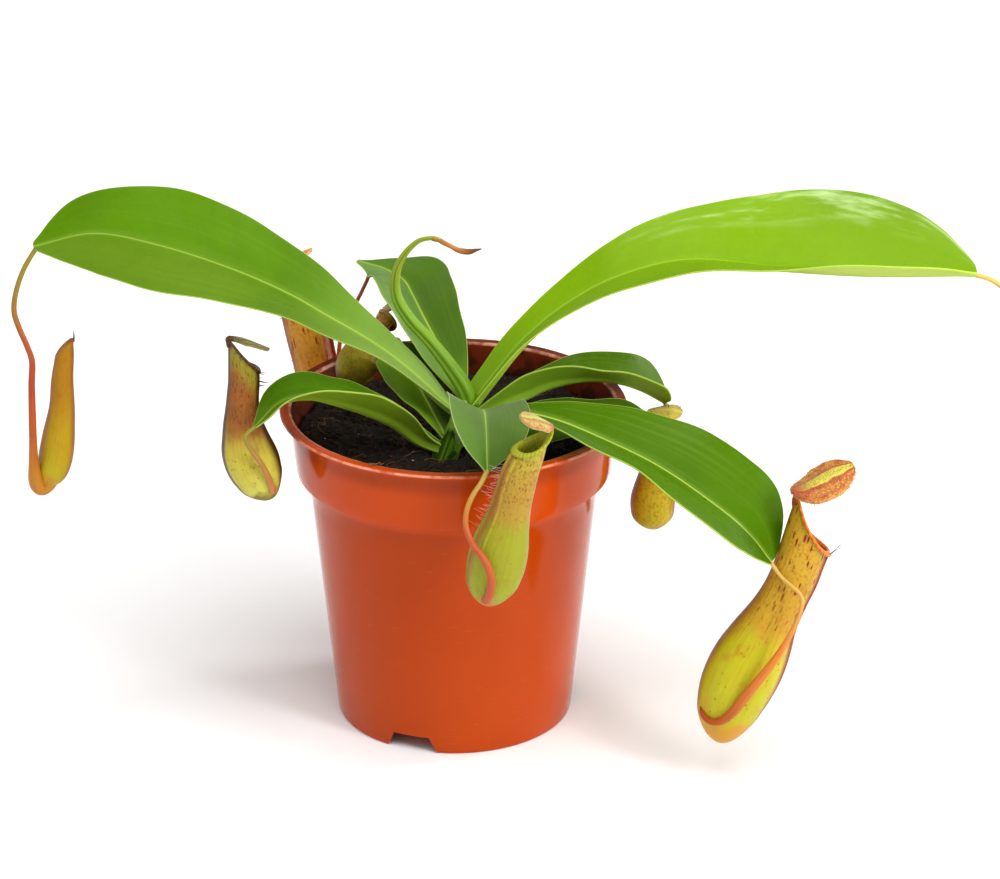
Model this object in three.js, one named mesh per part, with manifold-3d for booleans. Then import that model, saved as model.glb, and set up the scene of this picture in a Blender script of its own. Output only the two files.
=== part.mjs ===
import * as THREE from "three";
import { mergeGeometries, mergeVertices } from "three/addons/utils/BufferGeometryUtils.js";
import Module from "manifold-3d";

// A tropical pitcher plant in a plastic nursery pot, in millimetres, +Z up.
// The origin is on the floor on the pot's axis. -Y is the front, +X the right.

const FIT_GAP = 0.3;

// The pot: a tapered body, a wider band under a flat lip, a raised floor and a notched foot.
const POT = {
  height: 114,
  lipRadius: 60,
  lipThickness: 1.5,
  lipInnerRadius: 55.9,
  bandTopRadius: 56.3,
  bandBottomRadius: 54.4,
  bandBottom: 91,
  bodyTopRadius: 50.1,
  stepRise: 1.2,
  baseRadius: 41,
  wall: 1.3,
  floorUnderside: 7,
  floorThickness: 1.4,
  padRadius: 12,
  padDraft: 1.5,
  edgeRound: 0.7,
  sides: 48,
};
const NOTCH = { count: 3, first: -111, bottomWidth: 18.5, topWidth: 13, height: 6, reach: 10 };

// The soil, up to 10 mm below the lip, with low mounds.
const SOIL = { top: 104, mound: 0.8, rings: 7, ringDrop: 1.5, wallGap: 0.4, edgeInset: 2.6 };

// The short stem stands in the soil and leans to the right.
const STEM = {
  path: [[-7.2, -23, 90.5], [-2.4, -19.7, 104], [1.2, -17.2, 114], [4.6, -15, 124]],
  radius: [3.2, 3.2, 3, 2.7],
};

// How finely the leaves and the other grown parts are divided.
const BLADE = {
  lengthSteps: 12,
  crossSteps: [-1, -0.55, -0.14, 0, 0.14, 0.55, 1],
  margin: 0.6,
  inner: 1.4,
};
const LID = {
  lengthSteps: 6,
  crossSteps: [-1, -0.5, 0, 0.5, 1],
  margin: 0.9,
  rib: 1.2,
  tip: 0.25,
  bow: 1,
  seatDip: 0.1,
};
const STEM_SIDES = 12;
const TENDRIL_SIDES = 6;
const TENDRIL_GAP = FIT_GAP + 0.1;
const TIP_CROWDING = 1.6;
const TIP_HALF_WIDTH = 0.9;

// Each leaf has a midrib path from the stem to the tip, and evenly spaced stations of half
// width, of rib thickness in mm, and of roll and fold in degrees. The last share of its
// length, tip, closes in a round end.
const LEAVES = {
  far_left: {
    colour: "#6b9c20",
    path: [
      [1.7, -16, 118.4], [-3.2, -15, 122.2], [-12.2, -13, 130.5], [-21.1, -11.5, 137.8],
      [-30.9, -10, 144.2], [-43, -9, 151.3], [-56, -8, 158.9], [-75.3, -8, 168], [-98.7, -8, 176.2],
      [-120.7, -9, 181], [-141, -13, 177.8],
    ],
    halfWidth: [2, 5, 7, 10.6, 15, 18.8, 23.2, 25.4, 22.4, 16.2, 4],
    tip: 0.05,
    roll: [-16, -25, -22, -29],
    fold: [14, 15, -2],
    rib: [2.6, 2, 1.2],
  },
  right_high: {
    colour: "#8bc11c",
    path: [
      [4.6, -14.8, 118.9], [12, -12, 128.2], [23.6, -9, 142.2], [38.5, -6, 154.2],
      [56.7, -4, 163.7], [80.5, -1, 168.4], [109.9, 2, 164.6], [142.8, 4, 161.4], [178.8, 5, 160.8],
    ],
    halfWidth: [2, 4.6, 5.8, 9.4, 14.2, 19.6, 27.4, 32.5, 30.6, 22.6, 8],
    tip: 0.06,
    roll: [9, 25, 7, 12],
    fold: [22, 25, 38],
    rib: [2.8, 2.2, 1.2],
  },
  back: {
    colour: "#58812a",
    path: [
      [3.8, -12.4, 121.2], [-3, 5, 130.1], [-7.2, 18, 132.9], [-11.2, 30, 135.8],
      [-14.5, 42, 137.7], [-18.1, 52, 139.7], [-25.4, 60, 141], [-34.6, 64, 142.1],
    ],
    heading: [-0.35, 0.9],
    halfWidth: [1.4, 5.8, 9.9, 12.3, 14.2, 14.9, 14.9, 10.6, 2],
    tip: 0.1,
    roll: [-15, -9, -2, 3],
    fold: [19, 26, 32, 21, -12],
    rib: [2.4, 1.8, 1.1],
  },
  right_small: {
    colour: "#6f9c14",
    path: [
      [3.8, -14.6, 114.4], [14.5, -10.8, 118], [23.5, -6, 120.2], [33.5, -1, 122.6],
      [46, 6, 121.7], [56.8, 11, 118.6], [65.6, 15, 113.8], [74, 18, 107.6],
    ],
    halfWidth: [1.2, 4.4, 8.4, 9.4, 9.8, 10, 10.6, 12, 8.6],
    tip: 0.12,
    roll: [-36, -40, -26, 1, 10, 11],
    fold: [40, 36, 34, 39, 38, 36],
    rib: [2.4, 1.8, 1.1],
  },
  right_front: {
    colour: "#6d9c08",
    path: [
      [2.4, -18.2, 111.5], [19.4, -24, 121.2], [33.5, -32, 123], [51.9, -41, 118.9],
      [70.6, -48, 111.7], [89.7, -55, 100.2], [99.7, -58, 92], [107.2, -60, 82.6],
    ],
    halfWidth: [1.6, 3.2, 5.4, 11.4, 16.4, 19, 22.2, 23.6, 21.2, 9],
    tip: 0.07,
    roll: [5, 3, 6, 3],
    fold: [15, 20, 19],
    rib: [2.4, 1.9, 1.1],
  },
  right_low: {
    colour: "#45601a",
    path: [
      [0.5, -17.8, 108], [14, -16.5, 110], [28, -15.5, 113], [41, -14.8, 115.4],
      [52, -14, 117.2], [60, -13, 117.4], [67, -12.5, 115.2],
    ],
    halfWidth: [1.4, 3.4, 6.6, 9.8, 9.8, 7.4, 6, 2.4],
    tip: 0.1,
    roll: [6, 21, 20, 14],
    fold: [25, 6, 2],
    rib: [2.2, 1.6, 1],
  },
  front: {
    colour: "#6f8c42",
    path: [
      [0.8, -19.2, 109], [5, -27, 119.5], [8.6, -38, 128.6], [10.7, -48, 132.9],
      [11.4, -57, 131.4], [11.7, -64, 126.5], [11.9, -69, 119.7],
    ],
    heading: [0.12, -1],
    halfWidth: [1.4, 2.4, 5.4, 9.6, 12.6, 14.2, 14.1, 8.3, 1.6],
    tip: 0.04,
    roll: [-6, -9, -16],
    fold: [26, 18, 20],
    rib: [2.2, 1.6, 1],
  },
  left_small: {
    colour: "#5d8a1c",
    path: [
      [-1.9, -19.4, 105.9], [-10.9, -21, 110], [-20, -23, 117.6], [-29.4, -25, 122.9],
      [-38.7, -27, 126.9], [-48.1, -28.5, 129.6], [-58.3, -31, 128.4], [-66.8, -33.6, 120.6],
    ],
    halfWidth: [1.4, 4.6, 7.4, 8.7, 10.6, 10.6, 10.8, 8, 2],
    tip: 0.06,
    roll: [-2, 14, 4, -7],
    fold: [50, 40, 12],
    rib: [2.4, 1.7, 1],
  },
  back_left: {
    colour: "#405215",
    path: [
      [-1.4, -18.2, 107.5], [-6, -10, 113.4], [-11, -1.5, 120], [-15.5, 6, 125.4],
      [-19.2, 12.5, 128.6],
    ],
    halfWidth: [1.2, 4.4, 8.4, 10.8, 11, 7.6, 1.2],
    tip: 0.1,
    roll: [0, -6, -10],
    fold: [35, 25, 15],
    rib: [2.2, 1.6, 1],
  },
};

// The youngest leaf is still rolled into a tube that ends in a dry brown tip.
const ROLLED_LEAF = {
  colour: "#8cae10",
  path: [
    [4.7, -14.9, 124.4], [-0.7, -13, 133.3], [-7.5, -11, 142], [-14.2, -9, 149], [-18.6, -8, 156],
    [-19.6, -8, 162], [-18.6, -9, 168.5], [-15.6, -10, 174.4], [-11.3, -11, 178.9], [-6.2, -12, 180.3],
  ],
  radius: [2.7, 2.9, 2.5, 2.2, 2.2, 2, 1.6, 1.1],
};

// Tendrils run on from the leaf tips, except one that leaves from under its blade.
const TENDRILS = {
  far_left: {
    colour: "#b0552a",
    path: [
      [-144.2, -15.5, 170.5], [-146.9, -17.5, 163.2], [-147.8, -18.5, 156.6], [-146.4, -19, 150.8],
      [-143.8, -20, 144.3], [-142.3, -20, 138.4], [-142.8, -20, 129.6], [-143.1, -20, 112.2],
      [-143.6, -18, 99], [-143.6, -15, 91], [-142, -13, 87.6],
    ],
    radius: [0.8, 0.9, 1, 1.1, 1.3, 1.3],
  },
  right_high: {
    colour: "#c98a3c",
    path: [
      [183.4, 5, 158.4], [188.4, 5, 154.9], [194.2, 5, 149], [198.2, 4.5, 140], [200, 3.5, 128],
      [200.4, 2, 112], [199.8, 1, 98], [198.8, 0, 87], [200.8, 0, 80.2],
    ],
    radius: [0.8, 0.9, 1, 1.1, 1.3, 1.3],
  },
  back: {
    colour: "#7a4a24",
    under: true,
    path: [
      [-31.8, 63.6, 140.5], [-30.6, 67, 135.4], [-32.8, 68, 129.4], [-35, 68, 124.7],
      [-38.3, 67.6, 117.6], [-41, 66.6, 110.6], [-41.8, 65, 100], [-41.4, 62, 82], [-41.8, 56, 66],
      [-42.8, 51.8, 61.2],
    ],
    radius: [0.7, 0.7, 0.8, 1, 1.2, 1.3],
  },
  right_small: {
    colour: "#8a7a2c",
    path: [
      [74.9, 21, 102.8], [75.8, 24, 97], [76, 26.4, 88], [75, 27, 78], [73.4, 26.4, 69],
      [71.6, 23.6, 62.4], [70.6, 19.8, 60],
    ],
    radius: [0.8, 0.9, 1, 1.2],
  },
  right_front: {
    colour: "#d2622e",
    path: [
      [110.1, -63.5, 78.8], [113.6, -67, 76.8], [116.3, -70, 75], [116.8, -72.5, 72.4],
      [114.6, -74, 65.8], [109.6, -75.2, 56], [103.6, -76.2, 46.8], [98.3, -76.4, 38.4],
      [93.9, -74.8, 29.5], [90.8, -70.6, 21.6], [89.6, -65, 17],
    ],
    radius: [0.8, 0.8, 1, 1.3, 1.6, 1.9, 1.8],
  },
  front: {
    colour: "#d0642f",
    path: [
      [9.9, -71.6, 117.2], [6.8, -74.4, 113.2], [4.9, -76.4, 108.5], [4.9, -78, 103.4],
      [7.1, -80.6, 98.6], [10.4, -84, 95.4], [12.9, -86.6, 90.4], [12.9, -86, 83.4], [11.2, -81.4, 77],
      [10.5, -77.6, 75],
    ],
    radius: [0.8, 0.9, 1.1, 1.4, 1.7],
  },
  left_small: {
    colour: "#b88a3a",
    path: [
      [-68.9, -34.8, 118.9], [-69.9, -35.6, 117.4], [-69.2, -35.6, 115], [-67.3, -35.3, 111.5],
      [-64.9, -35, 107.7], [-62.8, -33.6, 102.6], [-61.6, -31, 97.4], [-61.2, -28.2, 93.6],
    ],
    radius: [0.6, 0.8, 1, 1.2],
  },
  back_left: {
    colour: "#6d5a22",
    path: [
      [-20.6, 15.6, 129.6], [-22.4, 18.4, 127.2], [-25.4, 20, 123.6], [-29.6, 19, 119.4],
      [-32.6, 14.6, 116.6], [-33.5, 8.4, 118.4],
    ],
    radius: [0.8, 0.9, 1.1],
  },
};

// The dry end of the rolled leaf is a node of its own, because it is brown.
const DRY_TIP = {
  colour: "#a8662c",
  path: [
    [-5.5, -12.1, 180.2], [-2.8, -12.3, 178.7], [0, -12.6, 177.2], [2.6, -13, 176.2],
    [5.6, -13.2, 175.9], [9.9, -13.4, 177],
  ],
  radius: [0.9, 0.8, 0.8, 1, 0.9, 0.2],
};

// Each pitcher has an axis from its base to the mouth, evenly spaced stations of radius, and
// the side where its two low wings run. The mouth slants down to that side by an angle in
// degrees, dips at its sides and has a raised point at its back, both in mm. The lid leans
// over the mouth by its lift and roll in degrees, reaches back by a share, overhang, and may
// sit lower by a drop in mm.
const WALL = 1;
const LIP = { flare: 1.1, middle: 0.4, rise: 1.5 };
const PITCHER = {
  rings: 12,
  ringCrowding: 1.25,
  cap: 0.16,
  wingTurn: 26,
  wingSpread: 6,
  slantStart: 0.45,
  mouthStart: 0.7,
  innerRings: 5,
  innerBottom: 0.04,
  innerTop: 0.97,
};
const BUD_TOP = { shoulder: 0.6, shoulderRise: 1.2, rise: 1.6 };
const PITCHERS = {
  far_left: {
    colour: "#b88b16",
    axis: [
      [-141, -13, 88.4], [-137.6, -13, 96], [-135.8, -13, 103], [-134.8, -13, 110],
      [-133.6, -13, 120], [-133.1, -13, 130], [-132, -12.6, 140.2],
    ],
    radius: [3.2, 4.6, 5.6, 5.6, 5, 4.3, 3.9, 3.6, 3],
    front: [-1, -0.2],
    slant: 50,
    closed: true,
    dip: 0,
    peak: 0,
  },
  right_high: {
    colour: "#b88b16",
    axis: [
      [201.8, 0, 81], [205.2, 0, 88.6], [207, 0, 95.6], [208, 0, 102.6], [209.2, 0, 112.6],
      [209.7, 0, 122.6], [210.8, 0, 132.8],
    ],
    radius: [3.2, 4.6, 5.6, 5.6, 5, 4.3, 3.9, 3.6, 3],
    front: [-1, -0.2],
    slant: 50,
    closed: true,
    dip: 0,
    peak: 0,
  },
  back: {
    colour: "#c4622a",
    axis: [
      [-44.4, 49.4, 62], [-45.4, 48.6, 76], [-47.4, 48.2, 93.8], [-49.9, 48, 108.4],
      [-52.1, 48, 119.2], [-53.4, 48.4, 128], [-54.2, 49, 134],
    ],
    radius: [7, 8.6, 9, 8.4, 7.5, 7.1, 7.3, 7.8, 8.4],
    front: [0.9, -0.3],
    slant: 34,
    wing: 1.4,
    dip: 1.6,
    peak: 1.6,
    lid: { length: 19, halfWidth: [5, 7.4, 8, 7, 4], lift: 34, roll: 0, fold: -12, overhang: 0.1 },
  },
  right_small: {
    colour: "#bfa62a",
    axis: [[69.8, 16.2, 59.8], [69.6, 15.2, 69], [70.4, 14, 79], [71.8, 12.6, 89], [73.2, 11.8, 99.5]],
    radius: [5.4, 7.4, 7.9, 7, 5.9, 5.3, 5, 5],
    front: [0.9, -0.2],
    slant: 24,
    wing: 1,
    dip: 1.2,
    peak: 0.6,
    lid: { length: 12.4, halfWidth: [4, 5.6, 6, 5.6, 4], lift: 2, roll: 8, fold: -12, overhang: 0.13 },
  },
  right_front: {
    colour: "#c8b23c",
    axis: [
      [90.9, -60.4, 15], [93.4, -59.4, 27.4], [97.9, -58.6, 39.8], [104.8, -58, 54.7],
      [112.6, -57, 70.4], [116.6, -56, 81.5], [120.2, -55, 92.4],
    ],
    radius: [8.4, 10.3, 12.3, 12.3, 10.6, 8.5, 7.8, 8.1, 8.3],
    front: [0.97, 0.24],
    slant: 38,
    wing: 0.6,
    dip: 2.6,
    peak: 2.4,
    lid: { length: 23, halfWidth: [8, 9.4, 9.2, 8, 5], lift: 22, roll: 15, fold: -6, overhang: 0.12 },
  },
  front: {
    colour: "#c0b84c",
    axis: [
      [11.9, -74.6, 73.6], [13.2, -74.2, 82], [15.8, -74, 92.5], [18.3, -74, 102.8],
      [20.4, -74, 112], [22.8, -74, 121.8], [26.2, -73.6, 131.6],
    ],
    radius: [7.1, 8.7, 9.6, 9.2, 7.6, 6.3, 6, 5.6, 4.6],
    front: [-0.96, -0.3],
    slant: 40,
    wing: 0.8,
    dip: 1.4,
    peak: 1.2,
    lid: { length: 12, halfWidth: [4, 5.8, 6.2, 5.6, 4], lift: 22, roll: -8, fold: -12, overhang: 0 },
  },
  left_small: {
    colour: "#c9a13c",
    axis: [
      [-61.8, -24.6, 89.8], [-65.9, -23.6, 97], [-69.6, -23, 106], [-71.2, -23, 116],
      [-71.4, -22.6, 125], [-71, -22, 133], [-70.8, -21, 140.8],
    ],
    radius: [6, 7.9, 9.3, 9, 7.3, 5.8, 5.2, 5.1, 5],
    front: [0.9, 0.43],
    slant: 44,
    wing: 0.6,
    dip: 1.8,
    peak: 0.2,
    lid: {
      length: 13.8, halfWidth: [2.4, 4.2, 4.6, 4, 3], lift: -24, roll: -10, fold: -10,
      overhang: -0.14, drop: 1.2,
    },
  },
  back_left: {
    colour: "#a58c1e",
    axis: [
      [-32.4, 1, 122.6], [-33.6, 6, 124.4], [-32.6, 14, 127.6], [-28.4, 21.6, 131],
      [-23.6, 27.6, 133.8],
    ],
    radius: [5.6, 6.9, 6.9, 5.8, 4.6, 3.8, 3.4, 3.3],
    front: [0.8, 0.2],
    slant: 6,
    wing: 0.4,
    dip: 0.4,
    peak: 0.4,
    lid: { length: 5.6, halfWidth: [2, 2.6, 2.8, 2.4, 1.6], lift: 16, roll: 0, fold: -14, overhang: 0.1 },
  },
};

const UP = new THREE.Vector3(0, 0, 1);
const radians = THREE.MathUtils.degToRad;

const wasm = await Module();
wasm.setup();

// A geometry with only its places left and its shared corners joined.
function weld(geometry) {
  geometry.deleteAttribute("normal");
  geometry.deleteAttribute("uv");
  return mergeVertices(geometry, 1e-4);
}

function toSolid(geometry) {
  const closed = weld(geometry);
  return new wasm.Manifold(
    new wasm.Mesh({
      numProp: 3,
      vertProperties: new Float32Array(closed.attributes.position.array),
      triVerts: new Uint32Array(closed.index.array),
    }),
  );
}

function toGeometry(solid) {
  const mesh = solid.getMesh();
  const geometry = new THREE.BufferGeometry();
  geometry.setAttribute("position", new THREE.BufferAttribute(mesh.vertProperties, 3));
  geometry.setIndex(new THREE.BufferAttribute(mesh.triVerts, 1));
  return geometry;
}

function cut(geometry, cutters) {
  const rest = cutters.reduce((left, cutter) => left.subtract(toSolid(cutter)), toSolid(geometry));
  return toGeometry(rest);
}

// Moves every corner of a geometry to the place that a rule gives for it.
function reshape(geometry, rule) {
  const place = geometry.attributes.position;
  const corner = new THREE.Vector3();
  for (let i = 0; i < place.count; i += 1) {
    corner.fromBufferAttribute(place, i);
    const moved = rule(corner);
    place.setXYZ(i, moved.x, moved.y, moved.z);
  }
  return geometry;
}

function smoothCurve(points) {
  const corners = points.map((point) => new THREE.Vector3(...point));
  return new THREE.CatmullRomCurve3(corners, false, "catmullrom", 0.5);
}

// A smooth value between evenly spaced stations, for u from 0 to 1.
function station(values, u) {
  const line = new THREE.SplineCurve(values.map((value, i) => new THREE.Vector2(i, value)));
  return line.getPoint(THREE.MathUtils.clamp(u, 0, 1)).y;
}

// The directions along, across and out of a blade at one place on its midrib.
function bladeFrame(blade, u) {
  const curve = blade.curve;
  const along = curve.getTangentAt(u);
  const across = new THREE.Vector3().crossVectors(UP, blade.heading);
  const side = across.addScaledVector(along, -across.dot(along)).normalize();
  const normal = new THREE.Vector3().crossVectors(along, side);
  const roll = radians(station(blade.roll, u));
  const rolledSide = side.clone().multiplyScalar(Math.cos(roll));
  rolledSide.addScaledVector(normal, Math.sin(roll));
  const rolledNormal = normal.clone().multiplyScalar(Math.cos(roll));
  rolledNormal.addScaledVector(side, -Math.sin(roll));
  return { centre: curve.getPointAt(u), side: rolledSide, normal: rolledNormal };
}

function halfWidthAt(blade, u) {
  const intoTip = Math.max(0, (u - (1 - blade.tip)) / blade.tip);
  const open = station(blade.halfWidth, u) - TIP_HALF_WIDTH;
  return TIP_HALF_WIDTH + open * Math.sqrt(1 - Math.min(intoTip, 1) ** 2);
}

// A point on a blade's upper face (depth 0) or lower face (depth 1), for v from -1 to 1.
function bladePoint(blade, u, v, depth) {
  const { centre, side, normal } = bladeFrame(blade, u);
  const fold = radians(station(blade.fold, u)) * Math.sign(v);
  const half = side.clone().multiplyScalar(Math.cos(fold)).addScaledVector(normal, Math.sin(fold));
  const out = normal.clone().multiplyScalar(Math.cos(fold)).addScaledVector(side, -Math.sin(fold));
  const thickening = THREE.MathUtils.lerp(BLADE.inner, 1, Math.abs(v));
  const middle = v === 0 ? station(blade.rib, u) : blade.margin * thickening;
  const point = centre.clone().addScaledVector(half, v * halfWidthAt(blade, u));
  return point.addScaledVector(out, -depth * middle);
}

function bladeCurve(blade) {
  const points = blade.path;
  const first = new THREE.Vector3(...points[0]);
  const heading = blade.heading
    ? new THREE.Vector3(...blade.heading, 0)
    : new THREE.Vector3(...points.at(-1)).sub(first).setZ(0);
  return { ...blade, curve: smoothCurve(points), heading: heading.normalize() };
}

// A thin closed blade: an upper face, a lower face split alike, and the rim between them.
function bladeGeometry(spec, grain) {
  const blade = bladeCurve({ margin: grain.margin, ...spec });
  const rows = grain.lengthSteps;
  const columns = grain.crossSteps.length - 1;
  const alongAt = (row) => 1 - (1 - row / rows) ** TIP_CROWDING;
  const acrossAt = (column) => grain.crossSteps[column];
  const face = (depth) =>
    reshape(new THREE.PlaneGeometry(rows, columns, rows, columns), (corner) => {
      const row = Math.round(corner.x + rows / 2);
      const column = Math.round(corner.y + columns / 2);
      return bladePoint(blade, alongAt(row), acrossAt(column), depth);
    });
  const lower = face(1);
  const turned = lower.index.array;
  for (let i = 0; i < turned.length; i += 3) {
    [turned[i + 1], turned[i + 2]] = [turned[i + 2], turned[i + 1]];
  }
  const around = 2 * (rows + columns);
  const rim = reshape(new THREE.PlaneGeometry(around, 1, around, 1), (corner) => {
    const step = Math.round(corner.x + around / 2) % around;
    const depth = corner.y > 0 ? 0 : 1;
    const [row, column] = rimPlace(step, rows, columns);
    return bladePoint(blade, alongAt(row), acrossAt(column), depth);
  });
  return mergeGeometries([face(0), lower, rim]);
}

// The row and column of one step round the edge of a grid.
function rimPlace(step, rows, columns) {
  if (step < rows) return [step, 0];
  if (step < rows + columns) return [rows, step - rows];
  if (step < 2 * rows + columns) return [2 * rows + columns - step, columns];
  return [0, 2 * (rows + columns) - step];
}

// A closed round tube along a curve, with a radius that changes on the way.
function tubeGeometry(points, radius, sides, grow = 0) {
  const curve = smoothCurve(points);
  const steps = 2 * (points.length - 1);
  const frames = curve.computeFrenetFrames(steps);
  return reshape(new THREE.CylinderGeometry(1, 1, steps, sides, steps), (corner) => {
    const step = Math.round(corner.y + steps / 2);
    const reach = station(radius, step / steps) + grow;
    const centre = curve.getPointAt(step / steps);
    centre.addScaledVector(frames.normals[step], corner.z * reach);
    return centre.addScaledVector(frames.binormals[step], corner.x * reach);
  });
}

// The angles of a pitcher's corners from its front, close together beside the two wings.
function pitcherAngles() {
  const wing = PITCHER.wingTurn;
  const half = [0, wing - PITCHER.wingSpread, wing, wing + PITCHER.wingSpread, 54, 79, 104, 129, 154, 180];
  return [...half, ...half.slice(1, -1).reverse().map((angle) => 360 - angle)];
}

// The outline of a pitcher from the base, over the lip and down inside: [radius, distance].
function pitcherOutline(spec, length, grow) {
  const outside = [];
  for (let ring = 0; ring <= PITCHER.rings; ring += 1) {
    const u = (ring / PITCHER.rings) ** PITCHER.ringCrowding;
    const rounding = Math.sqrt(1 - (1 - Math.min(u / PITCHER.cap, 1)) ** 2);
    const reach = ring === 0 ? 0 : station(spec.radius, u) * rounding + grow;
    outside.push([reach, u * length - (ring === 0 ? grow : 0)]);
  }
  const top = spec.radius.at(-1);
  if (spec.closed || grow > 0) {
    const shoulder = [top * BUD_TOP.shoulder + grow, length + BUD_TOP.shoulderRise + grow];
    return [...outside, shoulder, [0, length + BUD_TOP.rise + grow]];
  }
  const lip = [
    [top + LIP.flare, length + LIP.rise / 3],
    [top + LIP.middle, length + LIP.rise],
    [top - WALL / 2, length + LIP.rise * 0.7],
  ];
  const inside = [];
  for (let ring = PITCHER.innerRings; ring >= 0; ring -= 1) {
    const u = THREE.MathUtils.lerp(PITCHER.innerBottom, PITCHER.innerTop, ring / PITCHER.innerRings);
    const rounding = Math.sqrt(1 - (1 - Math.min(u / PITCHER.cap, 1)) ** 2);
    inside.push([ring === 0 ? 0 : station(spec.radius, u) * rounding - WALL, u * length]);
  }
  return [...outside, ...lip, ...inside];
}

// A pitcher: its outline turned round the axis, bent along it, with two low wings in front.
function pitcherGeometry(spec, grow = 0) {
  const curve = smoothCurve(spec.axis);
  const length = curve.getLength();
  const outline = pitcherOutline(spec, length, grow);
  const angles = pitcherAngles();
  const sides = angles.length;
  const rows = outline.length;
  const profile = outline.map(([reach], row) => new THREE.Vector2(reach === 0 ? 0 : 1, row));
  const lathe = new THREE.LatheGeometry(profile, sides);
  const front = new THREE.Vector3(...spec.front, 0).normalize();
  return reshape(lathe, (corner) => {
    const row = Math.round(corner.y);
    const turn = Math.round((Math.atan2(corner.x, corner.z) / (2 * Math.PI)) * sides);
    const angle = radians(angles[(turn + sides) % sides]);
    const [reach, distance] = outline[row];
    const outer = row <= PITCHER.rings;
    return pitcherPoint({ spec, curve, length, front }, reach, distance, angle, outer);
  });
}

// One point of a pitcher's skin. The angle runs from the front round the axis.
function pitcherPoint({ spec, curve, length, front }, reach, distance, angle, outer) {
  const share = distance / length;
  const tilt = Math.tan(radians(spec.slant)) * THREE.MathUtils.smoothstep(share, PITCHER.slantStart, 1);
  const nearMouth = THREE.MathUtils.smoothstep(share, PITCHER.mouthStart, 1);
  const dip = nearMouth * spec.dip * Math.sin(angle) ** 2;
  const peak = nearMouth * spec.peak * Math.max(0, -Math.cos(angle)) ** 5;
  const shifted = distance - tilt * reach * Math.cos(angle) - dip + peak;
  const u = THREE.MathUtils.clamp(shifted / length, 0, 1);
  const along = curve.getTangentAt(u);
  const centre = curve.getPointAt(u).addScaledVector(along, shifted - u * length);
  const ahead = front.clone().addScaledVector(along, -front.dot(along)).normalize();
  const beside = new THREE.Vector3().crossVectors(along, ahead);
  const turned = Math.min(angle, 2 * Math.PI - angle);
  const onWing = Math.abs(turned - radians(PITCHER.wingTurn)) < 0.01;
  const rise = THREE.MathUtils.smoothstep(share, 0.1, 0.5);
  const wing = outer && onWing && reach > 0 ? (spec.wing ?? 0) * rise : 0;
  centre.addScaledVector(ahead, (reach + wing) * Math.cos(angle));
  return centre.addScaledVector(beside, (reach + wing) * Math.sin(angle));
}

// The lid stands on the back of the mouth and leans forward over it.
function lidGeometry(spec) {
  const curve = smoothCurve(spec.axis);
  const length = curve.getLength();
  const front = new THREE.Vector3(...spec.front, 0).normalize();
  const mouth = { spec, curve, length, front };
  const seatHeight = length + LIP.rise + FIT_GAP + LID.rib;
  const seat = pitcherPoint(mouth, spec.radius.at(-1) + LIP.middle, seatHeight, Math.PI, false);
  const lift = radians(spec.lid.lift);
  const reach = front.clone().multiplyScalar(Math.cos(lift)).addScaledVector(UP, Math.sin(lift));
  const at = (share, bow) =>
    seat.clone().addScaledVector(reach, share * spec.lid.length).addScaledVector(UP, bow).toArray();
  const { overhang } = spec.lid;
  const { drop = 0 } = spec.lid;
  const startBow = Math.max(0, overhang * spec.lid.length * Math.sin(lift)) - LID.seatDip;
  const path = [
    at(-overhang, startBow - drop), at(0.2, LID.bow * 0.6 - drop), at(0.55, LID.bow - drop),
    at(1 - overhang, -drop),
  ];
  const lid = {
    path,
    heading: spec.front,
    halfWidth: spec.lid.halfWidth,
    tip: LID.tip,
    roll: [0, spec.lid.roll],
    fold: [spec.lid.fold, spec.lid.fold],
    rib: [LID.rib, LID.rib],
  };
  return bladeGeometry(lid, LID);
}

function potOutline() {
  const wallSlope = (POT.bodyTopRadius - POT.baseRadius) / (POT.bandBottom - POT.stepRise);
  const innerAt = (z) => POT.baseRadius + wallSlope * z - POT.wall;
  const floorTop = POT.floorUnderside + POT.floorThickness;
  const lipUnder = POT.height - POT.lipThickness;
  const round = POT.edgeRound;
  return [
    [0, 0],
    [POT.padRadius, 0],
    [POT.padRadius + POT.padDraft, POT.floorUnderside],
    [innerAt(POT.floorUnderside), POT.floorUnderside],
    [innerAt(0), 0],
    [POT.baseRadius - round, 0],
    [POT.baseRadius, round],
    [POT.bodyTopRadius, POT.bandBottom - POT.stepRise],
    [POT.bandBottomRadius, POT.bandBottom],
    [POT.bandTopRadius, lipUnder - 1],
    [POT.bandTopRadius + 1, lipUnder],
    [POT.lipRadius - round / 2, lipUnder],
    [POT.lipRadius, lipUnder + round / 2],
    [POT.lipRadius, POT.height - round / 2],
    [POT.lipRadius - round / 2, POT.height],
    [POT.lipInnerRadius + round, POT.height],
    [POT.lipInnerRadius - 0.2, POT.height - 1.2],
    [POT.bandBottomRadius - POT.wall + 0.4, POT.bandBottom + 1.4],
    [POT.bodyTopRadius - POT.wall, POT.bandBottom - POT.stepRise + 0.6],
    [innerAt(floorTop), floorTop],
    [0, floorTop],
  ];
}

// A LatheGeometry turns round Y, so it is stood up to turn round Z.
function lathe(outline, sides) {
  const points = outline.map(([radius, z]) => new THREE.Vector2(radius, z));
  return new THREE.LatheGeometry(points, sides).rotateX(Math.PI / 2);
}

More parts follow.
